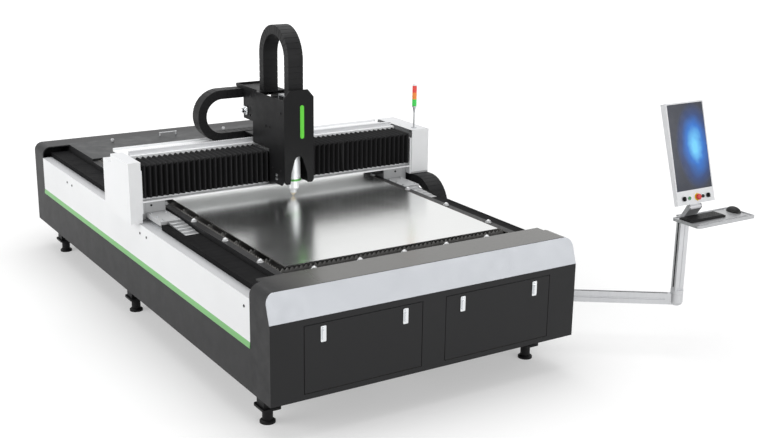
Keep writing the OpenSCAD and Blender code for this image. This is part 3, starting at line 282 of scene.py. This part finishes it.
def head_bands():
    """Brass nozzle, steel seat, white body with a green ring, and the grey slide above."""
    nozzle, seat, ring_low, ring_high, body, slide = 0.021, 0.045, 0.1075, 0.1225, 0.29, 0.70
    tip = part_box("cutting_head")[0][2]
    stops = [(tip - BAND_MARGIN, lin(214, 202, 180)), (tip + nozzle, lin(206, 208, 210)),
             (tip + seat, lin(236, 237, 238)), (tip + ring_low, lin(74, 156, 62)),
             (tip + ring_high, lin(228, 230, 232)), (tip + body, lin(150, 152, 154))]
    return banded("cutting_head_finish", stops, 0.32, (tip - BAND_MARGIN, tip + slide), metal=0.25)


def post_bands():
    """Pale post below the tray, greyer tray and neck above."""
    low, tray, high = 0.30, 0.872, 1.0
    return banded("post_metal", [(low, lin(206, 207, 209)), (tray, lin(180, 181, 183))], 0.34,
                  (low, high), metal=0.6)


def glow_screen():
    """Dark display with a soft blue glow that fades to the edges."""
    glow_x, glow_z, shift = 0.17, 0.27, 0.67
    m = Maker("display_glow")
    lo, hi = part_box("screen")
    cx = lo[0] * (1 - shift) + hi[0] * shift
    cz = lo[2] * 0.5 + hi[2] * 0.5
    place = m.nodes.new("ShaderNodeMapping")
    place.inputs["Location"].default_value = (-cx / glow_x, 0, -cz / glow_z)
    place.inputs["Scale"].default_value = (1 / glow_x, 0, 1 / glow_z)
    m.link(m.coord.outputs["Object"], place.inputs["Vector"])
    ball = m.nodes.new("ShaderNodeTexGradient")
    ball.gradient_type = "SPHERICAL"
    m.link(place.outputs["Vector"], ball.inputs["Vector"])
    cloud = m.noise(5.0, detail=3.0)
    tone = m.ramp(m.times(ball.outputs["Fac"], m.spread(cloud, 0.75, 1.25)), [
        (0.0, lin(44, 48, 60)), (0.3, lin(32, 62, 116)), (0.6, lin(30, 108, 196)),
        (0.95, lin(110, 204, 250))])
    m.feed("Base Color", m.mix(1.0, tone, grey(0.35), "MULTIPLY"))
    m.feed("Emission Color", tone)
    m.plain(Emission_Strength=0.75)
    m.feed("Roughness", m.spread(m.noise(30.0), 0.10, 0.16))
    return m.mat


def toothed_paint():
    """Dark frame paint, burnt off to bare scale on the comb plates beside the sheet."""
    comb_x, reach = 0.786, 0.01
    m = Maker("table_paint")
    across = m.nodes.new("ShaderNodeMath")
    across.operation = "ABSOLUTE"
    m.link(m.axis("X"), across.inputs[0])
    comb = m.ramp(m.spread(across.outputs[0], 0.0, 1.0, comb_x - reach, comb_x + reach),
                  [(0.0, BLACK), (0.25, WHITE), (0.75, BLACK)], constant=True)
    dark = m.ramp(m.noise(5.0), [(0.3, lin(30, 30, 31)), (0.7, lin(36, 36, 37))])
    bare = m.ramp(m.noise(80.0), [(0.3, lin(92, 90, 87)), (0.7, lin(126, 124, 121))])
    m.feed("Base Color", m.mix(comb, dark, bare))
    m.feed("Roughness", m.spread(m.noise(40.0), 0.38, 0.52))
    m.bump(m.noise(700.0), 0.3, 0.00012)
    m.plain(Specular_IOR_Level=0.2)
    return m.mat


def pleat_fabric():
    """Coated fabric with painted light on the ridges and painted shade down in the folds."""
    m = Maker("bellows_fabric")
    fold = m.nodes.new("ShaderNodeAttribute")
    fold.attribute_name = "ridge"
    # Painted shade in the folds, painted light on the ridges
    tone = m.ramp(fold.outputs["Fac"], [(0.0, lin(7, 7, 7)), (0.7, lin(22, 22, 23)), (1.0, lin(50, 50, 51))])
    drift = m.ramp(m.noise(9.0), [(0.3, grey(0.86)), (0.7, WHITE)])
    m.feed("Base Color", m.mix(1.0, tone, drift, "MULTIPLY"))
    m.feed("Roughness", m.spread(m.noise(60.0), 0.55, 0.7))
    m.bump(m.noise(1500.0), 0.3, 0.0002)
    m.plain(Specular_IOR_Level=0.12)
    return m.mat


# Finishes of the part, by slot or by node

CHARCOAL = lin(38, 38, 39)
PANEL = lin(240, 241, 242)
LID_TOP = 0.8625
M = {
    # Painted light: the charcoal paint's faces that look up are a little lighter than its sides
    "dark_paint": coat("charcoal_powder_coat_painted_light_top", CHARCOAL, 0.5, vary=0.03, rough_vary=0.03, grain=900.0,
                       grain_depth=0.00016, spec=0.2, top=(lin(42, 42, 43), 0.45, 0.2)),
    # Painted reflection and shade: the deck's top is much lighter than its sides, and stays dark towards its
    # left end
    "deck_paint": coat("charcoal_gloss_deck_painted_reflection", CHARCOAL, 0.5, grain=900.0, grain_depth=0.00016, spec=0.2,
                       top=(lin(84, 83, 80), 0.24, 0.6), painted_top_from_x=(-0.96, -0.66)),
    "frame_paint": coat("frame_paint", CHARCOAL, 0.5, spec=0.25),
    "green_paint": coat("stripe_green", lin(120, 184, 112), 0.42, vary=0.05),
    # Painted shade: the white panels' faces that look up are greyer than their sides
    "panel_white": coat("white_powder_coat_panels_painted_shade_top", PANEL, 0.38, vary=0.02, grain_depth=0.00008,
                        top=(lin(196, 197, 199), 0.4, 0.4)),
    "white_paint": coat("white_powder_coat", PANEL, 0.38, vary=0.02, grain_depth=0.00008),
    # Painted shade: the white covers' faces that look up are greyer than their sides
    "cover_white": coat("white_powder_coat_covers_painted_shade_top", PANEL, 0.38, vary=0.02, grain_depth=0.00008,
                        top=(lin(216, 217, 219), 0.4, 0.4)),
    "silver_paint": coat("silver_metallic", lin(188, 191, 196), 0.4, metal=0.2, vary=0.03, grain=1600.0),
    "lid_paint": coat("rear_lid_grey", lin(56, 57, 58), 0.45, vary=0.03, spec=0.2,
                      above=(LID_TOP, lin(196, 197, 199))),
    "foot_black": coat("foot_black", lin(18, 18, 19), 0.55, grain=300.0, grain_depth=0.0003, spec=0.2),
    "steel": brushed("ground_steel", lin(196, 198, 200), 0.28, (1, 0.05, 1)),
    "black_fabric": coat("coated_fabric", lin(17, 17, 18), 0.7, grain=1500.0, grain_depth=0.0003,
                         vary=0.12, spec=0.06),
    "bellows_fabric": pleat_fabric(),
    "slat_steel": coat("scorched_slats", lin(108, 107, 105), 0.5, vary=0.12, blotch=30.0, spec=0.3),
    "table_paint": toothed_paint(),
    "guide_zinc": coat("zinc_plated_guides", lin(214, 215, 217), 0.5, metal=0.2, vary=0.04),
    "ball_steel": coat("satin_ball", lin(206, 207, 208), 0.4, metal=0.4, vary=0.04),
    "sheet_steel": coat("rolled_sheet", lin(234, 235, 234), 0.2, metal=1.0, vary=0.02, blotch=1.4,
                        grain=240.0, grain_depth=0.000002, rough_vary=0.015),
    "chain_plastic": coat("chain_plastic", lin(24, 24, 25), 0.5, grain=500.0, grain_depth=0.0002, spec=0.16),
    "bracket_metal": brushed("bracket_metal", lin(188, 190, 192), 0.34, (1, 1, 0.1)),
    "cast_grey": coat("pale_grey_paint", lin(182, 183, 184), 0.42, vary=0.05),
    "motor_black": coat("motor_black", lin(28, 28, 29), 0.42, spec=0.3),
    "head_paint": coat("head_black", lin(22, 22, 23), 0.46, grain=1100.0, spec=0.16),
    "head_plastic": coat("head_cover_black", lin(17, 17, 18), 0.42, spec=0.14),
    "head_metal": head_bands(),
    "light_green": lit_diffuser(),
    "lamp_plastic": tower_bands(),
    "latch_chrome": brushed("satin_chrome", lin(226, 228, 230), 0.22, (1, 1, 0.1), vary=0.05),
    "console_aluminium": brushed("satin_extrusion", lin(196, 197, 199), 0.38, (0.3, 0.3, 0.06), vary=0.05),
    "post_metal": post_bands(),
    "case_paint": coat("case_white", lin(230, 231, 233), 0.36, vary=0.03),
    "screen_glass": glow_screen(),
    "red_plastic": coat("red_plastic", lin(205, 32, 26), 0.3, clear=0.3),
    "green_plastic": coat("green_plastic", lin(38, 128, 66), 0.3, clear=0.3),
    "black_plastic": coat("black_plastic", lin(18, 18, 19), 0.45, grain=800.0, spec=0.25),
    "yellow_plastic": coat("yellow_plastic", lin(242, 204, 20), 0.35, clear=0.2),
    "plate_grey": brushed("step_plate_steel", lin(168, 169, 170), 0.42, (0.1, 1, 1), vary=0.06),
}
FINISH_OF_NODE = {
    "front_cabinet": "deck_paint",
    "table_frame": "table_paint",
    "carriage_plate": "head_paint",
    "upper_panels": "panel_white",
    "console_post": "post_metal",
    "left_end_cover": "cover_white",
    "right_end_cover": "cover_white",
    "rear_cover": "lid_paint",
    "y_guides": "guide_zinc",
}
slot_of = {s["node"]: s["material_slot"] for s in frame["record"]["subparts"]}


def paint(obj, mat):
    obj.data.materials.clear()
    obj.data.materials.append(mat)


for name, obj in nodes.items():
    paint(obj, M[FINISH_OF_NODE.get(name, slot_of[name])])


# Shapes

CREASE = math.radians(35)
TURNED_STEPS = 24
WASHER_STEPS = 32


def turns(n):
    """The angles of n even steps around a circle."""
    return [2 * math.pi * i / n for i in range(n)]


def facing(point, axis):
    """A place at a point whose Z looks along an axis."""
    return Matrix.Translation(point) @ Vector(axis).to_track_quat("Z", "Y").to_matrix().to_4x4()


class Form:
    """Rounded blocks, turned shapes and screws gathered into one mesh."""

    def __init__(self):
        self.bm = bmesh.new()

    def block(self, lo, hi, bevel, place=None):
        size = [h - l for l, h in zip(lo, hi)]
        mid = [(l + h) / 2 for l, h in zip(lo, hi)]
        m = Matrix.Translation(mid) @ Matrix.Diagonal((*size, 1))
        new = bmesh.ops.create_cube(self.bm, size=1.0, matrix=(place @ m) if place else m)["verts"]
        edges = list(dict.fromkeys(e for v in new for e in v.link_edges))
        bmesh.ops.bevel(self.bm, geom=edges, offset=bevel, segments=2, affect="EDGES", profile=0.5)

    def rings(self, loops):
        """Skin over closed loops of points of equal count, with both ends capped."""
        rows = [[self.bm.verts.new(p) for p in loop] for loop in loops]
        n = len(rows[0])
        for a, b in zip(rows, rows[1:]):
            for i in range(n):
                self.bm.faces.new((a[i], a[(i + 1) % n], b[(i + 1) % n], b[i]))
        self.bm.faces.new(rows[0][::-1])
        self.bm.faces.new(rows[-1])

    def turned(self, place, profile):
        """Solid of revolution about the place's own Z, from (radius, height) pairs."""
        self.rings([[place @ Vector((r * math.cos(k), r * math.sin(k), h)) for k in turns(TURNED_STEPS)]
                    for r, h in profile])

    def washer(self, place, r_in, r_out, h):
        """Flat ring with a cut outer rim."""
        section = ((r_in, 0), (r_out, 0), (r_out, h * 0.6), (r_out - h * 0.4, h), (r_in, h))
        rows = [[self.bm.verts.new(place @ Vector((r * math.cos(k), r * math.sin(k), z))) for r, z in section]
                for k in turns(WASHER_STEPS)]
        n = len(section)
        for a, b in zip(rows, rows[1:] + rows[:1]):
            for j in range(n):
                self.bm.faces.new((a[j], b[j], b[(j + 1) % n], a[(j + 1) % n]))

    def screw(self, place, r, h):
        """Cap screw with a hexagonal socket."""
        sector = math.pi / 3

        def circle(q, z):
            return [place @ Vector((q * math.cos(k), q * math.sin(k), z)) for k in turns(TURNED_STEPS)]

        def hexagon(q, z):
            reach = [(k, q / math.cos(k % sector - sector / 2)) for k in turns(TURNED_STEPS)]
            return [place @ Vector((d * math.cos(k), d * math.sin(k), z)) for k, d in reach]

        self.rings([circle(r, 0), circle(r, h * 0.8), circle(r * 0.86, h),
                    hexagon(r * 0.5, h), hexagon(r * 0.48, h * 0.4)])

    def done(self, name, body, mat):
        """The finished piece, smooth between its creases, on a body when one is given."""
        bmesh.ops.recalc_face_normals(self.bm, faces=self.bm.faces)
        mesh = bpy.data.meshes.new(name)
        self.bm.to_mesh(mesh)
        self.bm.free()
        obj = bpy.data.objects.new(name, mesh)
        scene.collection.objects.link(obj)
        mesh.polygons.foreach_set("use_smooth", [True] * len(mesh.polygons))
        mesh.set_sharp_from_angle(angle=CREASE)
        mesh.materials.append(mat)
        if body:
            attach(obj, body)
        return obj


# Copies of the chains and bellows that run between moving bodies

FOLD = 0.022


def points_of(obj):
    return np.array([v.co for v in obj.data.vertices], float).reshape(-1, 3)


def copy_of(node, name):
    """A mesh of its own with the node's shape, merged at its seams."""
    mesh = nodes[node].data.copy()
    mesh.name = name
    obj = bpy.data.objects.new(name, mesh)
    scene.collection.objects.link(obj)
    bm = bmesh.new()
    bm.from_mesh(mesh)
    bmesh.ops.remove_doubles(bm, verts=bm.verts, dist=1e-5)
    bm.to_mesh(mesh)
    bm.free()
    return obj


def stretch(obj, a, b, start, end):
    """Bakes the piece's place into its mesh."""
    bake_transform(obj)


def stretchy(node, name, a, b, axis, low_first=True):
    """Copy of a node in its place, with its two ends along an axis; the node itself is hidden."""
    obj = copy_of(node, name)
    lo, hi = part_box(node)
    s, e = [0, 0, 0], [0, 0, 0]
    s[axis], e[axis] = (lo[axis], hi[axis]) if low_first else (hi[axis], lo[axis])
    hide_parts(node)
    stretch(obj, a, b, s, e)
    return obj


def pleated(node, name, end, low_first=True):
    """Bellows of the gantry, with how far each point stands out of its fold, which sets the painted shade in
    the folds and the painted light on the ridges.
    """
    obj = stretchy(node, name, "gantry", end, 0, low_first)
    lo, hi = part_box(node)
    co = points_of(obj)
    out = np.maximum(lo[1] + FOLD - co[:, 1], co[:, 2] - hi[2] + FOLD) / FOLD
    # How far each point stands out of its fold, for the painted shade and light of the fabric
    ridge = obj.data.attributes.new("ridge", "FLOAT", "POINT")
    ridge.data.foreach_set("value", np.clip(out, 0, 1).astype(np.float32))
    paint(obj, M["bellows_fabric"])


def chain_arch():
    """Copy of the upright cable chain in the node's place; the node itself is hidden."""
    obj = copy_of("z_chain", "z_chain_arch")
    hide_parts("z_chain")
    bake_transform(obj)


stretchy("x_chain_lower", "x_chain_lower_run", "x_loop_lower", "bed", 1)
stretchy("x_chain_upper", "x_chain_upper_run", "x_loop_upper", "gantry", 1)
stretchy("y_chain_lower", "y_chain_lower_run", "y_loop_lower", "gantry", 0)
stretchy("y_chain_upper", "y_chain_upper_run", "y_loop_upper", "carriage", 0)
pleated("left_bellows", "left_bellows_cover", "carriage")
pleated("right_bellows", "right_bellows_cover", "carriage", False)
chain_arch()


# Way covers: rolled strips on both sides of the table, stepped plates ahead of the saddles

STRIP_X = (0.841, 0.983)
STRIP_TOP = 0.816
STRIP_T = 0.003
STAY_STEP = 0.02
STAY_RISE = 0.0012
HEM = 0.008
HEM_EDGE = 0.001
STACK_X = (0.849, 0.943)
STACK_L = 0.290
STACK_GAP = 0.0003
STEPS = 5
SADDLE_BACK = 0.1703
saddle_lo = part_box("saddles")[0]
way_lo, way_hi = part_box("way_covers")
stack_back = saddle_lo[1] - STACK_GAP


def strips(name, y0, y1, a, b):
    """Rolled fabric strips beside the table, with hemmed edges and cross stays."""
    f = Form()
    x0, x1 = STRIP_X
    n = int((y1 - y0) / STAY_STEP)
    low = STRIP_TOP - STRIP_T
    for side in SIDES:
        loops = []
        for i in range(n + 1):
            y = y0 + (y1 - y0) * i / n
            top = STRIP_TOP - STAY_RISE + (STAY_RISE if i % 3 == 0 else 0.0)
            section = ((x0, low), (x0, STRIP_TOP), (x0 + HEM, STRIP_TOP), (x0 + HEM + HEM_EDGE, top),
                       (x1 - HEM - HEM_EDGE, top), (x1 - HEM, STRIP_TOP), (x1, STRIP_TOP), (x1, way_lo[2]),
                       (x1 - STRIP_T, way_lo[2]), (x1 - STRIP_T, low))
            loops.append([(side * x, y, z) for x, z in section])
        f.rings(loops)
    obj = f.done(name, None, M["black_fabric"])
    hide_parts("way_covers")
    stretch(obj, a, b, (0, y0, 0), (0, y1, 0))


def step_plates():
    """Overlapping plates that fall in steps from each saddle to the strip ahead of it."""
    f = Form()
    for side in SIDES:
        x0, x1 = sorted((side * STACK_X[0], side * STACK_X[1]))
        for i in range(STEPS):
            y1 = stack_back - i * STACK_L / STEPS
            top = STRIP_TOP + (way_hi[2] - STRIP_TOP) * (STEPS - i) / STEPS
            f.block((x0, y1 - STACK_L / STEPS, STRIP_TOP), (x1, y1, top), bevel=0.001)
    obj = f.done("step_plates", None, M["plate_grey"])
    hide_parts("way_covers")
    stretch(obj, "bed", "gantry", (0, way_lo[1], 0), (0, saddle_lo[1], 0))


strips("front_way_strips", way_lo[1], stack_back, "bed", "gantry")
strips("rear_way_strips", SADDLE_BACK, way_hi[1], "gantry", "bed")
step_plates()


# Small fittings of bed and gantry; a screw's size is its (radius, height)

PANEL_SCREW = (0.0085, 0.003)
PANEL_SCREW_AT = (0.018, 0.404, 0.434, 0.808, 0.838)
PANEL_SCREW_DROP = 0.062
SADDLE_BOLT = (0.0085, 0.008)
BOLT_X = (0.868, 0.968)
BOLT_Y = (-0.425, -0.335, -0.245)
FOOT_TOP = 0.836
WEB_Y = -0.190
WEB_TOP = 0.9145
WEB_SCREW = (0.0072, 0.003)
WEB_SCREW_X = 0.948
WEB_SCREW_Z = 0.880
APRON_X = ((-1.0285, -0.9885), (0.9885, 1.0410))
APRON_LOW = 0.790
APRON_T = 0.012
APRON_SCREW = (0.0055, 0.003)
APRON_SCREW_Z = (0.812, 0.890)
# Dark box under the beam's right end, partly painted shade
DARK_BOX_LO = (0.772, -0.176, 0.872)
DARK_BOX_HI = (0.8495, -0.030, WEB_TOP)
RIBS = 5
RIB_PITCH = 0.025
RIB_W = 0.010
RIB_X = (0.784, 0.838)
RIB_Y = -0.160
RIB_Z = (0.8705, 0.8725)
TOWER_SCREW = (0.0028, 0.003)
TOWER_SCREW_OFF = (-0.0105, 0.0105)
TOWER_FLANGE = 0.004


def panel_screws():
    """Dark screws along the upper side panels, their place given by a share of the panel's length."""
    lo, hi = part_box("upper_panels")
    f = Form()
    for side in SIDES:
        for share in PANEL_SCREW_AT:
            y = lo[1] + share * (hi[1] - lo[1])
            f.screw(facing((side * hi[0], y, hi[2] - PANEL_SCREW_DROP), (side, 0, 0)), *PANEL_SCREW)
    f.done("panel_screws", "bed", M["black_plastic"])


def saddle_bolts():
    """Bolts through the saddles' foot plates."""
    f = Form()
    for side in SIDES:
        for x in BOLT_X:
            for y in BOLT_Y:
                f.screw(facing((side * x, y, FOOT_TOP), (0, 0, 1)), *SADDLE_BOLT)
    f.done("saddle_bolts", "gantry", M["steel"])


def web_screws():
    """One dark screw in the front web of each saddle."""
    f = Form()
    for side in SIDES:
        f.screw(facing((side * WEB_SCREW_X, WEB_Y, WEB_SCREW_Z), (0, -1, 0)), *WEB_SCREW)
    f.done("web_screws", "gantry", M["black_plastic"])


def web_aprons():
    """Plates that close the gap between each saddle's web and the end cover."""
    f = Form()
    for x0, x1 in APRON_X:
        f.block((x0, WEB_Y, APRON_LOW), (x1, WEB_Y + APRON_T, WEB_TOP), bevel=0.001)
        for z in APRON_SCREW_Z:
            f.screw(facing(((x0 + x1) / 2, WEB_Y, z), (0, -1, 0)), *APRON_SCREW)
    f.done("web_aprons", "gantry", M["cast_grey"])


def beam_end_dark_box():
    """Dark box with ribs below, under the beam's right end; partly the saddle's dark inner side, partly
    painted shade for the shade beneath the beam.
    """
    f = Form()
    f.block(DARK_BOX_LO, DARK_BOX_HI, bevel=0.003)
    for k in range(RIBS):
        y = RIB_Y + RIB_PITCH * k
        f.block((RIB_X[0], y, RIB_Z[0]), (RIB_X[1], y + RIB_W, RIB_Z[1]), bevel=0.0005)
    f.done("beam_end_dark_box", "gantry", M["motor_black"])


def tower_screws():
    """Four screws in the flange of the signal tower."""
    lo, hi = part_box("tower_stand")
    x, y = (lo[0] + hi[0]) / 2, (lo[1] + hi[1]) / 2
    f = Form()
    for dx in TOWER_SCREW_OFF:
        for dy in TOWER_SCREW_OFF:
            f.screw(facing((x + dx, y + dy, lo[2] + TOWER_FLANGE), (0, 0, 1)), *TOWER_SCREW)
    f.done("tower_screws", "gantry", M["steel"])


# Small fittings of the head

HEAD_SCREW = (0.0065, 0.005)
HEAD_SCREW_YZ = ((-0.199, 1.329), (-0.257, 1.330), (-0.420, 1.450), (-0.420, 1.060), (-0.300, 1.060),
                 (0.020, 1.500))
PLUG_Y = 0.105
PLUG_Z = 1.385
PLUG_HALF = 0.030
PLUG_BASE = 0.010
PLUG_PROFILE = [(0.020, 0.010), (0.020, 0.016), (0.015, 0.018), (0.015, 0.034), (0.012, 0.037)]
CLIP_Y = (-0.368, -0.346)
CLIP_Z = (0.985, 1.010)
CLIP_H = 0.016
CLIP_T = 0.006
head_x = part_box("head_housing")[0][0]


def head_screws():
    """Screws in both sides of the head's housing."""
    f = Form()
    for side in SIDES:
        for y, z in HEAD_SCREW_YZ:
            f.screw(facing((side * -head_x, y, z), (side, 0, 0)), *HEAD_SCREW)
    f.done("head_screws", "carriage", M["motor_black"])


def head_plug():
    """Round plug on a square base, high on the head's left side."""
    f = Form()
    f.block((head_x - PLUG_BASE, PLUG_Y - PLUG_HALF, PLUG_Z - PLUG_HALF),
            (head_x, PLUG_Y + PLUG_HALF, PLUG_Z + PLUG_HALF), bevel=0.003)
    f.turned(facing((head_x, PLUG_Y, PLUG_Z), (-1, 0, 0)), PLUG_PROFILE)
    f.done("head_plug", "carriage", M["latch_chrome"])


def head_clips():
    """Two clips low on the head's left side, near its front edge."""
    f = Form()
    for z in CLIP_Z:
        f.block((head_x - CLIP_T, CLIP_Y[0], z), (head_x, CLIP_Y[1], z + CLIP_H), bevel=0.0015)
    f.done("head_clips", "carriage", M["bracket_metal"])


# Small fittings of the console; a ring's size is its (inner radius, outer radius, height)

PIVOT = Vector((1.140, -1.545, 0))
ELBOW = Vector((1.93981, -2.11130, 0))
ARM_TOP = 0.349
ARM_END = 0.060
POST_HALF = 0.038
POST_Z = (0.400, 0.860)
SLOT_W = 0.009
SLOT_T = 0.0012
SLOT_BEVEL = 0.0003
CASE_ORIGIN = (1.77381, -2.21230, 0.991)
LEAN = math.radians(16)
BUTTON_Y = 0.040
STOP_X = 0.181
STOP_RING = (0.0116, 0.024, 0.0025)
BUTTON_X = (0.107, 0.227)
BUTTON_RING = (0.0116, 0.0150, 0.003)


def arm_slot_shade_strip():
    """Dark strip along the arm's top, painted shade for the shade down in its slot."""
    run = ELBOW - PIVOT
    along = Matrix.Translation(PIVOT) @ Matrix.Rotation(math.atan2(run.y, run.x), 4, "Z")
    f = Form()
    f.block((ARM_END, -SLOT_W / 2, ARM_TOP), (run.length - ARM_END, SLOT_W / 2, ARM_TOP + SLOT_T),
            SLOT_BEVEL, along)
    f.done("arm_slot_shade_strip", "console_arm", M["black_plastic"])


def post_slot_shade_strips():
    """Dark strips on the post's left and right sides, painted shade for the shade down in their slots."""
    f = Form()
    for side in SIDES:
        x0, x1 = sorted((ELBOW.x + side * POST_HALF, ELBOW.x + side * (POST_HALF + SLOT_T)))
        f.block((x0, ELBOW.y - SLOT_W / 2, POST_Z[0]), (x1, ELBOW.y + SLOT_W / 2, POST_Z[1]), SLOT_BEVEL)
    f.done("post_slot_shade_strips", "console_post", M["black_plastic"])


def button_rings():
    """Yellow ring under the emergency stop, bright rings around the two push buttons."""
    case = Matrix.Translation(CASE_ORIGIN) @ Matrix.Rotation(math.pi / 2 - LEAN, 4, "X")
    f = Form()
    f.washer(case @ Matrix.Translation((STOP_X, BUTTON_Y, 0)), *STOP_RING)
    f.done("stop_ring", "panel", M["yellow_plastic"])
    f = Form()
    for x in BUTTON_X:
        f.washer(case @ Matrix.Translation((x, BUTTON_Y, 0)), *BUTTON_RING)
    f.done("button_rings", "panel", M["latch_chrome"])


panel_screws()
saddle_bolts()
web_screws()
web_aprons()
beam_end_dark_box()
head_screws()
head_plug()
head_clips()
tower_screws()
arm_slot_shade_strip()
post_slot_shade_strips()
button_rings()


# Camera, as solved from the photograph

EYE = (-3.63525, -7.29905, 2.98174)
AHEAD = Vector((0.51381, 0.81083, -0.28025))
LEVEL_RIGHT = Vector((0.84468, -0.53526, 0.0))
LEVEL_UP = Vector((0.15001, 0.23672, 0.95991))
ROLL = math.asin(0.01445)
LENS = 55.137
SENSOR = 36.0


def camera():
    right = LEVEL_RIGHT * math.cos(ROLL) + LEVEL_UP * math.sin(ROLL)
    up = LEVEL_UP * math.cos(ROLL) - LEVEL_RIGHT * math.sin(ROLL)
    cam = bpy.data.objects.new("camera", bpy.data.cameras.new("camera"))
    cam.matrix_world = Matrix([(right[i], up[i], -AHEAD[i], EYE[i]) for i in range(3)] + [(0, 0, 0, 1)])
    cam.data.sensor_fit = "HORIZONTAL"
    cam.data.sensor_width = SENSOR
    cam.data.lens = LENS
    cam.data.clip_end = 200.0
    scene.collection.objects.link(cam)
    scene.camera = cam


# Soft studio light, white backdrop and pale floor

def area(name, place, aim, size, power):
    lamp = bpy.data.lights.new(name, "AREA")
    lamp.shape = "RECTANGLE"
    lamp.size, lamp.size_y = size
    lamp.energy = power
    obj = bpy.data.objects.new(name, lamp)
    obj.location = place
    obj.rotation_euler = (Vector(aim) - Vector(place)).to_track_quat("-Z", "Y").to_euler()
    scene.collection.objects.link(obj)


def seen_rays(tree):
    """1 for rays that show the background itself: camera, mirror and glass rays."""
    path = tree.nodes.new("ShaderNodeLightPath")
    seen = path.outputs["Is Camera Ray"]
    for kind in ("Is Glossy Ray", "Is Transmission Ray"):
        either = tree.nodes.new("ShaderNodeMath")
        either.operation = "MAXIMUM"
        tree.links.new(seen, either.inputs[0])
        tree.links.new(path.outputs[kind], either.inputs[1])
        seen = either.outputs[0]
    return seen


def studio_world(ambient=0.36, backdrop=1.0):
    """White world that lights the part less than it shows."""
    world = bpy.data.worlds.new("studio")
    scene.world = world
    world.use_nodes = True
    tree = world.node_tree
    tree.nodes.clear()
    pick = tree.nodes.new("ShaderNodeMixShader")
    tree.links.new(seen_rays(tree), pick.inputs[0])
    for socket, strength in ((pick.inputs[1], ambient), (pick.inputs[2], backdrop)):
        light = tree.nodes.new("ShaderNodeBackground")
        light.inputs["Color"].default_value = WHITE
        light.inputs["Strength"].default_value = strength
        tree.links.new(light.outputs[0], socket)
    out = tree.nodes.new("ShaderNodeOutputWorld")
    tree.links.new(pick.outputs[0], out.inputs["Surface"])


def studio_floor(half=60.0, near=(2.0, 0.37), far=(9.0, 1.0)):
    """Pale floor that takes the shadow; its painted glow, seen by camera, mirror and glass rays, comes up
    with the (distance, strength) pairs, so the floor is darker near the part and white far off.
    """
    bm = bmesh.new()
    bmesh.ops.create_grid(bm, x_segments=1, y_segments=1, size=half)
    mesh = bpy.data.meshes.new("studio_floor")
    bm.to_mesh(mesh)
    bm.free()
    floor = bpy.data.objects.new("studio_floor", mesh)
    scene.collection.objects.link(floor)
    m = Maker("studio_floor")
    m.feed("Base Color", m.ramp(m.noise(0.3), [(0.3, grey(0.60)), (0.7, grey(0.62))]))
    m.plain(Roughness=0.9, Specular_IOR_Level=0.0, Emission_Color=WHITE)
    reach = m.nodes.new("ShaderNodeVectorMath")
    reach.operation = "LENGTH"
    m.link(m.coord.outputs["Object"], reach.inputs[0])
    # Painted light: the floor's glow is weak near the part and white far from it
    painted_floor_glow = m.spread(reach.outputs["Value"], near[1], far[1], near[0], far[0])
    m.feed("Emission Strength", m.times(seen_rays(m.tree), painted_floor_glow))
    mesh.materials.append(m.mat)


camera()
area("top_softbox", place=(0.5, 0.5, 7.0), aim=(0, 0, 0.6), size=(7, 8), power=360)
area("left_softbox", place=(-7.5, 0.5, 3.6), aim=(0, 0, 0.6), size=(6, 5), power=280)
area("right_fill", place=(6.5, -9.0, 3.6), aim=(1.2, -0.8, 0.9), size=(3, 2), power=110)
area("front_fill", place=(1.5, -15.5, 4.6), aim=(0.4, -1, 0.6), size=(8, 4), power=560)
studio_world()
studio_floor()
